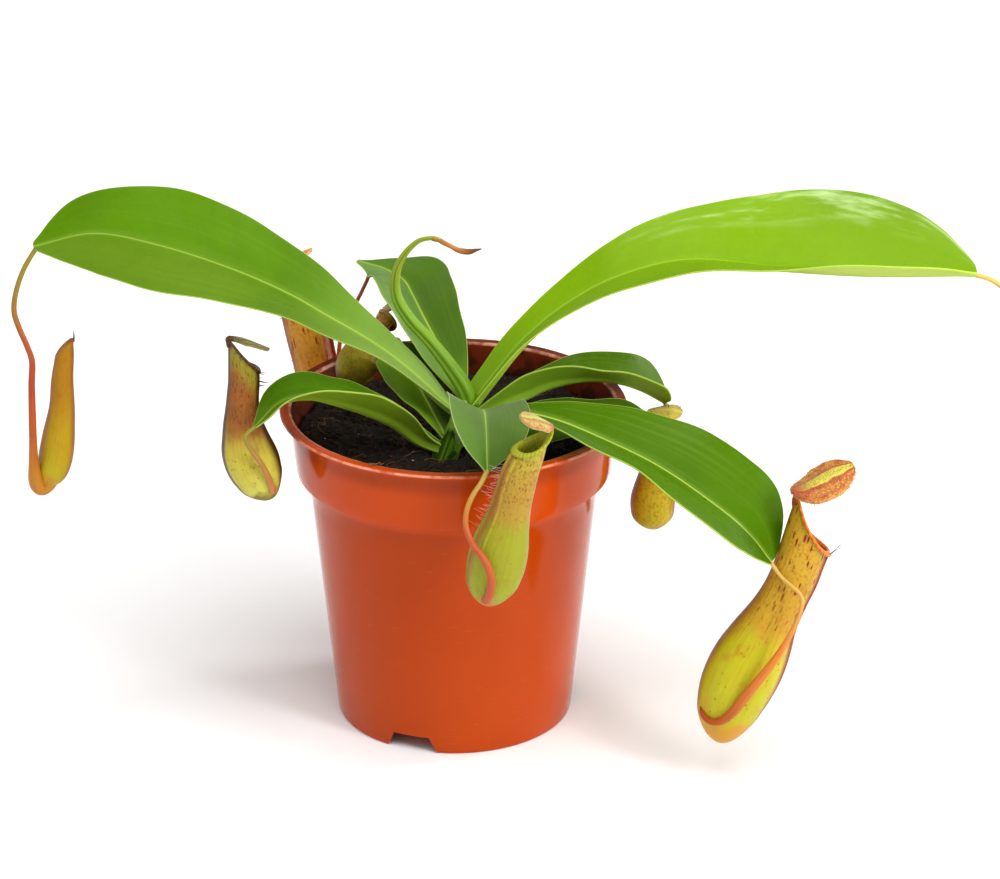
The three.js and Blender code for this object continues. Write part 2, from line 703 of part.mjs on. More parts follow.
function notchCutter(index) {
  const shape = new THREE.Shape([
    new THREE.Vector2(-NOTCH.bottomWidth / 2 - 1, -1.2),
    new THREE.Vector2(NOTCH.bottomWidth / 2 + 1, -1.2),
    new THREE.Vector2(NOTCH.topWidth / 2, NOTCH.height),
    new THREE.Vector2(-NOTCH.topWidth / 2, NOTCH.height),
  ]);
  const cutter = new THREE.ExtrudeGeometry(shape, { depth: NOTCH.reach, bevelEnabled: false });
  cutter.translate(0, 0, -POT.baseRadius - NOTCH.reach / 2);
  cutter.rotateX(Math.PI / 2);
  return cutter.rotateZ(radians(NOTCH.first - 90 + (360 / NOTCH.count) * index));
}

function potGeometry() {
  const cutters = Array.from({ length: NOTCH.count }, (_, index) => notchCutter(index));
  return cut(lathe(potOutline(), POT.sides), cutters);
}

function moundHeight(x, y) {
  const ripple = Math.sin(x / 7 + 0.8) * Math.cos(y / 6 - 0.4) + 0.6 * Math.sin(x / 3.1 - y / 3.7);
  return SOIL.mound * ripple;
}

// The stem with the gap that the soil and the leaves leave round it.
function stemClearance() {
  return tubeGeometry(STEM.path, STEM.radius, STEM_SIDES, FIT_GAP);
}

// The soil follows the inside of the pot and has a plain hole for the stem.
function soilGeometry() {
  const wallSlope = (POT.bodyTopRadius - POT.baseRadius) / (POT.bandBottom - POT.stepRise);
  const floor = POT.floorUnderside + POT.floorThickness + FIT_GAP;
  const inset = POT.wall + SOIL.wallGap;
  const edge = POT.bandTopRadius - SOIL.edgeInset;
  const outline = [
    [0, floor],
    [POT.baseRadius + wallSlope * floor - inset, floor],
    [POT.bodyTopRadius - inset, POT.bandBottom - POT.stepRise],
    [POT.bodyTopRadius - inset, POT.bandBottom + 0.2],
    [POT.bandBottomRadius - inset, POT.bandBottom + 2.4],
    [edge, SOIL.top - SOIL.ringDrop],
  ];
  for (let ring = 1; ring <= SOIL.rings; ring += 1) {
    outline.push([edge * (1 - ring / SOIL.rings), SOIL.top]);
  }
  const ground = reshape(lathe(outline, POT.sides), (corner) => {
    if (corner.z > SOIL.top - 1) corner.z += moundHeight(corner.x, corner.y);
    return corner;
  });
  return cut(ground, [stemClearance()]);
}

function material(colour, roughness) {
  return new THREE.MeshStandardMaterial({ color: colour, roughness, metalness: 0 });
}

const plant = new THREE.Group();

function add(name, geometry, colour, roughness) {
  const piece = new THREE.Mesh(geometry, material(colour, roughness));
  piece.name = name;
  piece.geometry.computeVertexNormals();
  plant.add(piece);
}

add("pot", potGeometry(), "#be4d23", 0.35);
add("soil", soilGeometry(), "#1a120a", 1);
add("stem", weld(tubeGeometry(STEM.path, STEM.radius, STEM_SIDES)), "#4f6a18", 0.6);

for (const [name, leaf] of Object.entries(LEAVES)) {
  add(`leaf_${name}`, cut(bladeGeometry(leaf, BLADE), [stemClearance()]), leaf.colour, 0.35);
}
const rolled = tubeGeometry(ROLLED_LEAF.path, ROLLED_LEAF.radius, 10);
add("leaf_rolled", cut(rolled, [stemClearance()]), ROLLED_LEAF.colour, 0.35);
add("dry_tip", weld(tubeGeometry(DRY_TIP.path, DRY_TIP.radius, 6)), DRY_TIP.colour, 0.8);

for (const [name, tendril] of Object.entries(TENDRILS)) {
  const tip = smoothCurve(LEAVES[name].path);
  const middle = station(LEAVES[name].rib, 1) / 2;
  const start = tip.getPointAt(1).addScaledVector(tip.getTangentAt(1), TENDRIL_GAP);
  const tipStart = start.addScaledVector(UP, -middle).toArray();
  const path = tendril.under ? tendril.path : [tipStart, ...tendril.path];
  const tube = tubeGeometry(path, tendril.radius, TENDRIL_SIDES);
  const clear = [pitcherGeometry(PITCHERS[name], FIT_GAP)];
  add(`tendril_${name}`, cut(tube, clear), tendril.colour, 0.5);
}

for (const [name, pitcher] of Object.entries(PITCHERS)) {
  add(`pitcher_${name}`, weld(pitcherGeometry(pitcher)), pitcher.colour, 0.45);
  if (pitcher.lid) add(`lid_${name}`, weld(lidGeometry(pitcher)), pitcher.colour, 0.5);
}

export default plant;
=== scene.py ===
"""A potted tropical pitcher plant, dressed over its solids.

Everything is in metres, +Z up, with the front towards -Y. Growth tables are in millimetres.
"""

import logging
import math
import random
from collections.abc import Callable, Sequence
from dataclasses import dataclass, field
from enum import Enum

import bpy
from mathutils import Matrix, Vector, noise


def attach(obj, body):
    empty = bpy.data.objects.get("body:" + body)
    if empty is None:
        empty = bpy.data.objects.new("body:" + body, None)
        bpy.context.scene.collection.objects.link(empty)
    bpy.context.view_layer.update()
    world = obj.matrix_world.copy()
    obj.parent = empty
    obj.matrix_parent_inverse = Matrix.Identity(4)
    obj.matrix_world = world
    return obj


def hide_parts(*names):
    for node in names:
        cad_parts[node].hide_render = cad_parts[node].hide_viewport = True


LOG = logging.getLogger("pitcher_plant")
MM = 0.001
UP = Vector((0, 0, 1))
SEAM = 2e-6

Point = tuple[float, float, float]
Colour = tuple[int, int, int]
Sizes = tuple[float, ...]

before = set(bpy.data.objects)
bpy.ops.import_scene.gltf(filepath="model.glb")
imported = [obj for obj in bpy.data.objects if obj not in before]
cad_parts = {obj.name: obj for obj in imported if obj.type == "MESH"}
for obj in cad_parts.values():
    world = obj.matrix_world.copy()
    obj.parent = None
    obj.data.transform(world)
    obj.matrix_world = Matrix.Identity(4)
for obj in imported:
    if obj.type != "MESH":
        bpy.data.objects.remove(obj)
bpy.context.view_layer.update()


@dataclass(frozen=True)
class BladeSpec:
    """A blade's midrib path, with evenly spaced stations of its other sizes."""

    path: tuple[Point, ...]
    half_width: Sizes
    tip: float
    roll: Sizes
    fold: Sizes
    rib: Sizes
    heading: tuple[float, float] | None = None
    root: float = 0
    hollow: float = 0


@dataclass(frozen=True)
class TubeSpec:
    """A round stalk's path and its evenly spaced radii."""

    path: tuple[Point, ...]
    radius: Sizes
    under: bool = False


@dataclass(frozen=True)
class LidSpec:
    """A lid's size and how it leans over the mouth."""

    length: float
    half_width: Sizes
    lift: float
    overhang: float
    roll: float = 0
    fold: float = -12
    drop: float = 0
    thick: float = 0.9
    ends: tuple[float, float] = (0.22, 0.25)


@dataclass(frozen=True)
class PitcherSpec:
    """A pitcher's axis, its radii, and the shape of its mouth."""

    axis: tuple[Point, ...]
    radius: Sizes
    front: tuple[float, float]
    slant: float
    dip: float = 0
    peak: float = 0
    wing: float = 0
    closed: bool = False
    lid: LidSpec | None = None


LEAVES: dict[str, BladeSpec] = {
    "far_left": BladeSpec(
        path=((1.7, -16, 118.4), (-3.2, -15, 122.2), (-12.2, -13, 130.5), (-21.1, -11.5, 137.8),
              (-30.9, -10, 144.2), (-43, -9, 151.3), (-56, -8, 158.9), (-75.3, -8, 168),
              (-98.7, -8, 176.2), (-120.7, -9, 181), (-141, -13, 177.8)),
        half_width=(2, 5, 7, 10.6, 15, 18.8, 23.2, 25.4, 22.4, 16.2, 4), tip=0.05,
        roll=(-16, -25, -22, -29), fold=(14, 15, -2), rib=(2.6, 2, 1.2)),
    "right_high": BladeSpec(
        path=((4.6, -14.8, 118.9), (12, -12, 128.2), (23.6, -9, 142.2), (38.5, -6, 154.2),
              (56.7, -4, 163.7), (80.5, -1, 168.4), (109.9, 2, 164.6), (142.8, 4, 161.4),
              (178.8, 5, 160.8)),
        half_width=(5.4, 6.2, 6.8, 9.6, 14.2, 19.6, 27.4, 32.5, 30.6, 22.6, 8), tip=0.06,
        roll=(9, 25, 7, 12), fold=(22, 25, 38), rib=(2.8, 2.2, 1.2)),
    "back": BladeSpec(
        path=((3.8, -12.4, 121.2), (-3, 5, 130.1), (-7.2, 18, 132.9), (-11.2, 30, 135.8),
              (-14.5, 42, 137.7), (-18.1, 52, 139.7), (-25.4, 60, 141), (-34.6, 64, 142.1)),
        heading=(-0.35, 0.9), half_width=(1.4, 5.8, 9.9, 12.3, 14.2, 14.9, 14.9, 10.6, 2), tip=0.1,
        roll=(-15, -9, -2, 3), fold=(19, 26, 32, 21, -12), rib=(2.4, 1.8, 1.1)),
    "right_small": BladeSpec(
        path=((3.8, -14.6, 114.4), (14.5, -10.8, 118), (23.5, -6, 120.2), (33.5, -1, 122.6),
              (46, 6, 121.7), (56.8, 11, 118.6), (65.6, 15, 113.8), (74, 18, 107.6)),
        half_width=(1.2, 4.4, 8.4, 9.4, 9.8, 10, 10.6, 12, 8.6), tip=0.12,
        roll=(-36, -40, -26, 1, 10, 11), fold=(40, 36, 34, 39, 38, 36), rib=(2.4, 1.8, 1.1)),
    "right_front": BladeSpec(
        path=((2.4, -18.2, 111.5), (19.4, -24, 121.2), (33.5, -32, 123), (51.9, -41, 118.9),
              (70.6, -48, 111.7), (89.7, -55, 100.2), (99.7, -58, 92), (107.2, -60, 82.6)),
        half_width=(1.6, 3.2, 5.4, 11.4, 16.4, 19, 22.2, 23.6, 21.2, 9), tip=0.07, roll=(5, 3, 6, 3),
        fold=(15, 20, 19), rib=(2.4, 1.9, 1.1)),
    "right_low": BladeSpec(
        path=((0.5, -17.8, 108), (14, -16.5, 110), (28, -15.5, 113), (41, -14.8, 115.4),
              (52, -14, 117.2), (60, -13, 117.4), (67, -12.5, 115.2)),
        half_width=(1.4, 3.4, 6.6, 9.8, 9.8, 7.4, 6, 2.4), tip=0.1, roll=(6, 21, 20, 14),
        fold=(25, 6, 2), rib=(2.2, 1.6, 1)),
    "front": BladeSpec(
        path=((0.8, -19.2, 109), (5, -27, 119.5), (8.6, -38, 128.6), (10.7, -48, 132.9),
              (11.4, -57, 131.4), (11.7, -64, 126.5), (11.9, -69, 119.7)),
        heading=(0.12, -1), half_width=(1.4, 2.4, 5.4, 9.6, 12.6, 14.4, 14.9, 10.9, 1.6), tip=0.04,
        roll=(-6, -9, -16), fold=(26, 20, 24), rib=(2.2, 1.6, 1), hollow=0.3),
    "left_small": BladeSpec(
        path=((-1.9, -19.4, 105.9), (-10.9, -21, 110), (-20, -23, 117.6), (-29.4, -25, 122.9),
              (-38.7, -27, 126.9), (-48.1, -28.5, 129.6), (-58.3, -31, 128.4), (-66.8, -33.6, 120.6)),
        half_width=(1.4, 4.6, 7.4, 8.7, 10.6, 10.6, 10.8, 8, 2), tip=0.06, roll=(-2, 14, 4, -7),
        fold=(50, 40, 12), rib=(2.4, 1.7, 1)),
    "back_left": BladeSpec(
        path=((-1.4, -18.2, 107.5), (-6, -10, 113.4), (-11, -1.5, 120), (-15.3, 6.5, 126),
              (-18.2, 14.6, 131.4)),
        half_width=(1.2, 4.4, 8.4, 11.4, 13, 11.4, 2.4), tip=0.14, roll=(0, -6, -10),
        fold=(35, 25, 15), rib=(2.2, 1.6, 1)),
}

TENDRILS: dict[str, TubeSpec] = {
    "far_left": TubeSpec(
        path=((-144.2, -15.5, 170.5), (-146.9, -17.5, 163.2), (-147.8, -18.5, 156.6),
              (-146.4, -19, 150.8), (-143.8, -20, 144.3), (-142.3, -20, 138.4), (-142.8, -20, 129.6),
              (-143.1, -20, 112.2), (-143.4, -18, 99), (-143.1, -15.4, 92.4), (-141.6, -13.6, 89),
              (-138.9, -13, 90.6), (-137.4, -13, 94)),
        radius=(0.8, 0.85, 0.9, 1, 1, 1.1, 1.2, 1.3, 1.4, 1.9, 2.9, 2.5)),
    "right_high": TubeSpec(
        path=((183.4, 5, 158.4), (188.4, 5, 154.9), (194.2, 5, 149), (198.2, 4.5, 140),
              (200, 3.5, 128), (200.4, 2, 112), (199.8, 1, 98), (198.8, 0, 87), (200.8, 0, 80.2)),
        radius=(0.8, 0.9, 1, 1.1, 1.3, 1.3)),
    "back": TubeSpec(
        under=True,
        path=((-31.8, 63.6, 140.5), (-30.6, 67, 135.4), (-32.8, 68, 129.4), (-35, 68, 124.7),
              (-38.3, 67.6, 117.6), (-41, 66.6, 110.6), (-41.8, 65, 100), (-41.4, 62, 82),
              (-41.8, 56, 66), (-42.8, 51.8, 61.2)),
        radius=(0.7, 0.7, 0.8, 1, 1.2, 1.3)),
    "right_small": TubeSpec(
        path=((74.9, 21, 102.8), (75.8, 24, 97), (76, 26.4, 88), (75, 27, 78), (73.4, 26.4, 69),
              (71.6, 23.6, 62.4), (70.6, 19.8, 60)),
        radius=(0.8, 0.9, 1, 1.2)),
    "right_front": TubeSpec(
        path=((110.1, -63.5, 78.8), (113.6, -67, 76.8), (116.3, -70, 75), (116.8, -72.5, 72.4),
              (114.6, -74, 65.8), (109.6, -75, 56), (103.6, -75, 46.8), (98.3, -73.4, 38.4),
              (94.2, -71.6, 31.6), (90.6, -70.2, 27.8), (87, -68.4, 26.9), (84.4, -65.4, 28.6),
              (84.8, -60.2, 31.5)),
        radius=(0.7, 0.65, 0.75, 1, 1.4, 1.7, 1.7, 1.1, 0.4)),
    "front": TubeSpec(
        path=((9.9, -71.6, 117.2), (6.8, -74.4, 113.2), (4.9, -76.4, 108.5), (4.9, -78, 103.4),
              (7.1, -80.6, 98.6), (10.4, -84, 95.4), (12.9, -86.6, 90.4), (12.9, -85.2, 84),
              (11.7, -81.6, 79.2), (11, -77.6, 77.6)),
        radius=(0.8, 0.9, 1.1, 1.4, 1.7)),
    "left_small": TubeSpec(
        path=((-68.9, -34.8, 118.9), (-69.9, -35.6, 117.4), (-69.2, -35.6, 115), (-67.3, -35.3, 111.5),
              (-64.9, -35, 107.7), (-62.8, -33.6, 102.6), (-61.6, -31, 97.4), (-61.2, -28.2, 93.6)),
        radius=(0.6, 0.8, 1, 1.2)),
    "back_left": TubeSpec(
        path=((-19.8, 17.6, 131), (-22, 19.4, 128), (-25.4, 20, 123.6), (-29.6, 19, 119.4),
              (-32.6, 14.6, 116.6), (-33.5, 8.4, 118.4)),
        radius=(0.8, 0.9, 1.1)),
}

PITCHERS: dict[str, PitcherSpec] = {
    "far_left": PitcherSpec(
        axis=((-141, -13, 88.4), (-137.6, -13, 96), (-135.8, -13, 103), (-134.8, -13, 110),
              (-133.6, -13, 120), (-133.1, -13, 130), (-132, -12.6, 140.2)),
        radius=(3.7, 5.2, 5.9, 5.7, 5, 4.3, 3.9, 3.6, 3), front=(-1, -0.2), slant=50, closed=True),
    "right_high": PitcherSpec(
        axis=((201.8, 0, 81), (205.2, 0, 88.6), (207, 0, 95.6), (208, 0, 102.6), (209.2, 0, 112.6),
              (209.7, 0, 122.6), (210.8, 0, 132.8)),
        radius=(3.2, 4.6, 5.6, 5.6, 5, 4.3, 3.9, 3.6, 3), front=(-1, -0.2), slant=50, closed=True),
    "back": PitcherSpec(
        axis=((-44.4, 49.4, 62), (-45.4, 48.6, 76), (-47.4, 48.2, 93.8), (-49.9, 48, 108.4),
              (-52.1, 48, 119.2), (-53.4, 48.4, 128), (-54.2, 49, 134)),
        radius=(7, 8.6, 9, 8.4, 7.5, 7.1, 7.3, 7.8, 8.4), front=(0.9, -0.3), slant=34, wing=1.4,
        dip=1.6, peak=1.6,
        lid=LidSpec(length=19, half_width=(5, 7.4, 8, 7, 4), lift=34, overhang=0.1)),
    "right_small": PitcherSpec(
        axis=((69.8, 16.2, 59.8), (69.6, 15.2, 69), (70.4, 14, 79), (71.8, 12.6, 89),
              (73.2, 11.8, 99.5)),
        radius=(5.4, 7.4, 7.9, 7, 5.9, 5.3, 5, 5), front=(0.9, -0.2), slant=24, wing=1, dip=1.2,
        peak=0.6,
        lid=LidSpec(length=12.4, half_width=(4, 5.6, 6, 5.6, 4), lift=2, roll=8, overhang=0.13)),
    "right_front": PitcherSpec(
        axis=((90.9, -60.4, 15), (93.4, -59.4, 27.4), (97.9, -58.6, 39.8), (104.8, -58, 54.7),
              (112.6, -57, 70.4), (116.6, -56, 81.5), (120.2, -55, 92.4)),
        radius=(8.4, 10.3, 12.3, 12.3, 10.6, 8.5, 7.8, 8.1, 8.3), front=(0.97, 0.24), slant=38,
        wing=0.6, dip=2.6, peak=2.4,
        lid=LidSpec(length=23, half_width=(9, 9.6, 9.8, 9.4, 8), lift=22, roll=15, overhang=0.12,
                    thick=1.7, ends=(0.45, 0.5))),
    "front": PitcherSpec(
        axis=((11.9, -74.6, 73.6), (13.2, -74.2, 82), (15.8, -74, 92.5), (18.3, -74, 102.8),
              (20.4, -74, 112), (22.8, -74, 121.8), (26.2, -73.6, 131.6)),
        radius=(7.1, 8.7, 9.6, 9.2, 7.6, 6.3, 6, 5.6, 4.6), front=(-0.96, -0.3), slant=40, wing=0.8,
        dip=1.4, peak=1.2,
        lid=LidSpec(length=12, half_width=(4, 5.8, 6.2, 5.6, 4), lift=22, roll=-8, overhang=0)),
    "left_small": PitcherSpec(
        axis=((-61.8, -24.6, 89.8), (-65.9, -23.6, 97), (-69.6, -23, 106), (-71.2, -23, 116),
              (-71.4, -22.6, 125), (-71, -22, 133), (-70.8, -21, 140.8)),
        radius=(6, 7.9, 9.3, 9, 7.3, 5.8, 5.2, 5.1, 5), front=(0.9, 0.43), slant=44, wing=0.6, dip=1.8,
        peak=0.2,
        lid=LidSpec(length=13.8, half_width=(2.4, 4.2, 4.6, 4, 3), lift=-24, roll=-10, fold=-10,
                    overhang=-0.14, drop=1.2)),
    "back_left": PitcherSpec(
        axis=((-32.4, 1, 122.6), (-33.6, 6, 124.4), (-32.6, 14, 127.6), (-28.4, 21.6, 131),
              (-23.6, 27.6, 133.8)),
        radius=(5.6, 6.9, 6.9, 5.8, 4.6, 3.8, 3.4, 3.3), front=(0.8, 0.2), slant=6, wing=0.4, dip=0.4,
        peak=0.4,
        lid=LidSpec(length=5.6, half_width=(2, 2.6, 2.8, 2.4, 1.6), lift=16, fold=-14, overhang=0.1)),
}

STEM = TubeSpec(
    path=((-7.2, -23, 90.5), (-2.4, -19.7, 104), (1.2, -17.2, 114), (4.6, -15, 124)),
    radius=(3.2, 3.2, 3, 2.7),
)

ROLLED_LEAF = TubeSpec(
    path=((6.8, -16.4, 113), (4.7, -14.9, 124.4), (-0.7, -13, 133.3), (-7.5, -11, 142),
          (-14.2, -9, 149), (-18.6, -8, 156), (-19.6, -8, 162), (-18.6, -9, 168.5),
          (-15.6, -10, 174.4), (-11.3, -11, 178.9), (-6.2, -12, 180.3), (-3.4, -12.2, 179.2)),
    radius=(3.3, 3.1, 2.8, 2.4, 2.2, 2.1, 1.8, 1.3, 0.9, 0.65),
)

DRY_TIP = TubeSpec(
    path=((-7.2, -12, 180.2), (-4.4, -12.2, 179.6), (-2.8, -12.3, 178.7), (0, -12.6, 177.2),
          (2.6, -13, 176.2), (5.6, -13.2, 175.9), (9.9, -13.4, 177)),
    radius=(0.9, 0.8, 0.8, 1, 0.9, 0.2),
)


# How the plant grows


def smoothstep(value: float, low: float, high: float) -> float:
    """Returns 0 below low, 1 above high, and a smooth rise between them."""
    share = min(1.0, max(0.0, (value - low) / (high - low)))
    return share * share * (3 - 2 * share)


def mix(first: float, second: float, share: float) -> float:
    """Returns the number that lies that share of the way from first to second."""
    return first + (second - first) * share


def rounding(share: float) -> float:
    """Returns the height of a quarter circle, 0 at share 0 and 1 from share 1 on."""
    return math.sqrt(1 - (1 - min(1.0, share)) ** 2)


def station(values: Sequence[float], u: float) -> float:
    """Returns the smooth value between evenly spaced stations.

    Args:
        values: The stations' values.
        u: The place, from 0 at the first station to 1 at the last.

    Returns:
        The value there.
    """
    last = len(values) - 1
    place = min(1.0, max(0.0, u)) * last
    low = min(int(place), last)
    t = place - low
    before, here = values[max(low - 1, 0)], values[low]
    after, beyond = values[min(low + 1, last)], values[min(low + 2, last)]
    start, end = (after - before) / 2, (beyond - here) / 2
    cube = (2 * here - 2 * after + start + end) * t**3
    square = (-3 * here + 3 * after - 2 * start - end) * t**2
    return cube + square + start * t + here


class SmoothCurve:
    """A smooth curve through points in millimetres, measured along its length in metres."""

    DIVISIONS = 400
    NUDGE = 1e-4

    def __init__(self, points: Sequence[Point]) -> None:
        """Keeps the points in metres and measures the curve."""
        self.corners = [Vector(point) * MM for point in points]
        marks = [self._at(i / self.DIVISIONS) for i in range(self.DIVISIONS + 1)]
        self.lengths = [0.0]
        for one, two in zip(marks, marks[1:]):
            self.lengths.append(self.lengths[-1] + (two - one).length)

    @property
    def length(self) -> float:
        """The whole length in metres."""
        return self.lengths[-1]

    def _at(self, t: float) -> Vector:
        """Returns the point at an even share t of the corners."""
        last = len(self.corners) - 1
        place = min(1.0, max(0.0, t)) * last
        low = min(int(place), last - 1)
        w = place - low
        one, two = self.corners[low], self.corners[low + 1]
        zero = self.corners[low - 1] if low else one * 2 - two
        three = self.corners[low + 2] if low + 2 <= last else two * 2 - one
        start, end = (two - zero) / 2, (three - one) / 2
        square = (two - one) * 3 - start * 2 - end
        return one + start * w + square * w**2 + ((one - two) * 2 + start + end) * w**3

    def _share(self, u: float) -> float:
        """Returns the share of the corners at a share of the length."""
        wanted = min(1.0, max(0.0, u)) * self.length
        low, high = 0, self.DIVISIONS
        while high - low > 1:
            middle = (low + high) // 2
            if self.lengths[middle] <= wanted:
                low = middle
            else:
                high = middle
        step = self.lengths[low + 1] - self.lengths[low]
        return (low + (wanted - self.lengths[low]) / max(step, 1e-12)) / self.DIVISIONS

    def point(self, u: float) -> Vector:
        """Returns the point at a share of the length."""
        return self._at(self._share(u))

    def tangent(self, u: float) -> Vector:
        """Returns the direction at a share of the length."""
        t = self._share(u)
        ahead, behind = self._at(min(1, t + self.NUDGE)), self._at(max(0, t - self.NUDGE))
        return (ahead - behind).normalized()


class Blade:
    """The rule that gives a blade's surface from its spec."""

    TIP_HALF_WIDTH = 0.9
    FOLD_SOFTNESS = 0.05

    def __init__(self, spec: BladeSpec) -> None:
        """Settles the midrib and the level direction that the blade points in."""
        self.spec = spec
        self.curve = SmoothCurve(spec.path)
        first, last = Vector(spec.path[0]), Vector(spec.path[-1])
        level = Vector((*spec.heading, 0)) if spec.heading else last - first
        self.heading = Vector((level.x, level.y, 0)).normalized()

    def directions(self, u: float) -> tuple[Vector, Vector, Vector]:
        """Returns the midrib's point and the directions across and out of the blade there."""
        along = self.curve.tangent(u)
        across = UP.cross(self.heading)
        side = (across - along * across.dot(along)).normalized()
        normal = along.cross(side)
        roll = math.radians(station(self.spec.roll, u))
        turned = side * math.cos(roll) + normal * math.sin(roll)
        return self.curve.point(u), turned, normal * math.cos(roll) - side * math.sin(roll)

    def half_width(self, u: float) -> float:
        """Returns the width from the midrib to the margin, in millimetres."""
        into_tip = min(1.0, max(0.0, (u - (1 - self.spec.tip)) / self.spec.tip))
        opened = station(self.spec.half_width, u) - self.TIP_HALF_WIDTH
        if self.spec.root:
            opened *= rounding(u / self.spec.root)
        return self.TIP_HALF_WIDTH + opened * math.sqrt(1 - into_tip**2)

    def folded(self, u: float, v: float) -> float:
        """Returns how far the blade is folded up, in radians, at a share across."""
        fold, hollow = math.radians(station(self.spec.fold, u)), self.spec.hollow
        if not hollow:
            return fold * max(-1.0, min(1.0, v / self.FOLD_SOFTNESS))
        reach = abs(v) + 1e-6
        rise = (math.hypot(reach, hollow) - hollow) / (math.hypot(1, hollow) - hollow)
        return fold * math.copysign(rise / reach, v)


TILT_FROM = 0.45
MOUTH_FROM = 0.7
LID_SEAT = (0.4, 3.0)


def pitcher_place(spec: PitcherSpec, curve: SmoothCurve, reach: float, distance: float,
                  angle: float, swell: float = 0) -> Vector:
    """Returns one point of a pitcher's skin.

    Args:
        spec: The pitcher's sizes.
        curve: Its axis.
        reach: The distance from the axis, in millimetres.
        distance: The distance along the axis, in millimetres.
        angle: The turn from the front, in radians.
        swell: What the skin stands out there, such as a wing, in millimetres.

    Returns:
        The point, in metres.
    """
    length = curve.length / MM
    share = distance / length
    tilt = math.tan(math.radians(spec.slant)) * smoothstep(share, TILT_FROM, 1)
    mouth = smoothstep(share, MOUTH_FROM, 1)
    dip = mouth * spec.dip * math.sin(angle) ** 2
    peak = mouth * spec.peak * max(0.0, -math.cos(angle)) ** 5
    shifted = distance - tilt * reach * math.cos(angle) - dip + peak
    u = min(1.0, max(0.0, shifted / length))
    along = curve.tangent(u)
    centre = curve.point(u) + along * (shifted - u * length) * MM
    front = Vector((*spec.front, 0)).normalized()
    ahead = (front - along * front.dot(along)).normalized()
    beside = along.cross(ahead)
    out = ahead * math.cos(angle) + beside * math.sin(angle)
    return centre + out * (reach + swell) * MM


# Mesh work


def clear_selection() -> None:
    """Leaves nothing selected."""
    bpy.ops.object.select_all(action="DESELECT")


def make_active(piece: bpy.types.Object) -> None:
    """Selects one piece alone."""
    clear_selection()
    piece.select_set(True)
    bpy.context.view_layer.objects.active = piece


def add_skin(name: str, columns: int, rows: int) -> bpy.types.Object:
    """Adds a flat grid, to be wrapped into a skin.

    Args:
        name: The piece's name.
        columns: The faces along its first map direction.
        rows: The faces along its second map direction.

    Returns:
        The grid, 2 m wide, with its map coordinates from 0 to 1.
    """
    clear_selection()
    bpy.ops.mesh.primitive_grid_add(x_subdivisions=columns, y_subdivisions=rows, size=2)
    piece = bpy.context.object
    piece.name = piece.data.name = name
    return piece


def close_seams(piece: bpy.types.Object) -> None:
    """Joins the corners that lie on each other and turns all faces outwards."""
    make_active(piece)
    bpy.ops.object.mode_set(mode="EDIT")
    bpy.ops.mesh.select_all(action="SELECT")
    bpy.ops.mesh.remove_doubles(threshold=SEAM)
    bpy.ops.mesh.normals_make_consistent(inside=False)
    bpy.ops.object.mode_set(mode="OBJECT")
    bpy.ops.object.shade_smooth()


def store(piece: bpy.types.Object, name: str, values: Sequence[float]) -> None:
    """Keeps one number for each corner of a piece, for its finish to read."""
    layer = piece.data.attributes.new(name, "FLOAT", "POINT")
    layer.data.foreach_set("value", list(values))


def tube_frames(points: Sequence[Vector]) -> list[tuple[Vector, Vector]]:
    """Returns two directions across a path at each of its points, without a twist."""
    frames = []
    ahead = (points[1] - points[0]).normalized()
    side = ahead.orthogonal().normalized()
    for i, point in enumerate(points):
        before = points[max(i - 1, 0)]
        after = points[min(i + 1, len(points) - 1)]
        ahead = (after - before).normalized() if (after - before).length > 1e-9 else ahead
        side = (side - ahead * side.dot(ahead)).normalized()
        frames.append((side, ahead.cross(side)))
    return frames


def finish_piece(piece: bpy.types.Object, look: bpy.types.Material, slot: str,
                 *nodes: str) -> bpy.types.Object:
    """Dresses a piece and sets it in the frame.

    Args:
        piece: The piece, finished in shape.
        look: Its material.
        slot: The record's material slot. It is not used.
        *nodes: The solids that it stands for.

    Returns:
        The same piece.
    """
    piece.data.materials.clear()
    piece.data.materials.append(look)
    if nodes:
        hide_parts(*nodes)
    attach(piece, "root")
    LOG.info("%s: %d faces", piece.name, len(piece.data.polygons))
    return piece


def loose_mesh(name: str, corners: list[Vector], faces: list[tuple[int, ...]]) -> bpy.types.Object:
    """Makes one piece of many small shapes that a rule has placed.

    Args:
        name: The piece's name.
        corners: All corners, in metres.
        faces: The corners of each face.

    Returns:
        The piece.
    """
    mesh = bpy.data.meshes.new(name)
    mesh.from_pydata([tuple(corner) for corner in corners], [], faces)
    piece = bpy.data.objects.new(name, mesh)
    bpy.context.scene.collection.objects.link(piece)
    make_active(piece)
    bpy.ops.object.shade_smooth()
    return piece


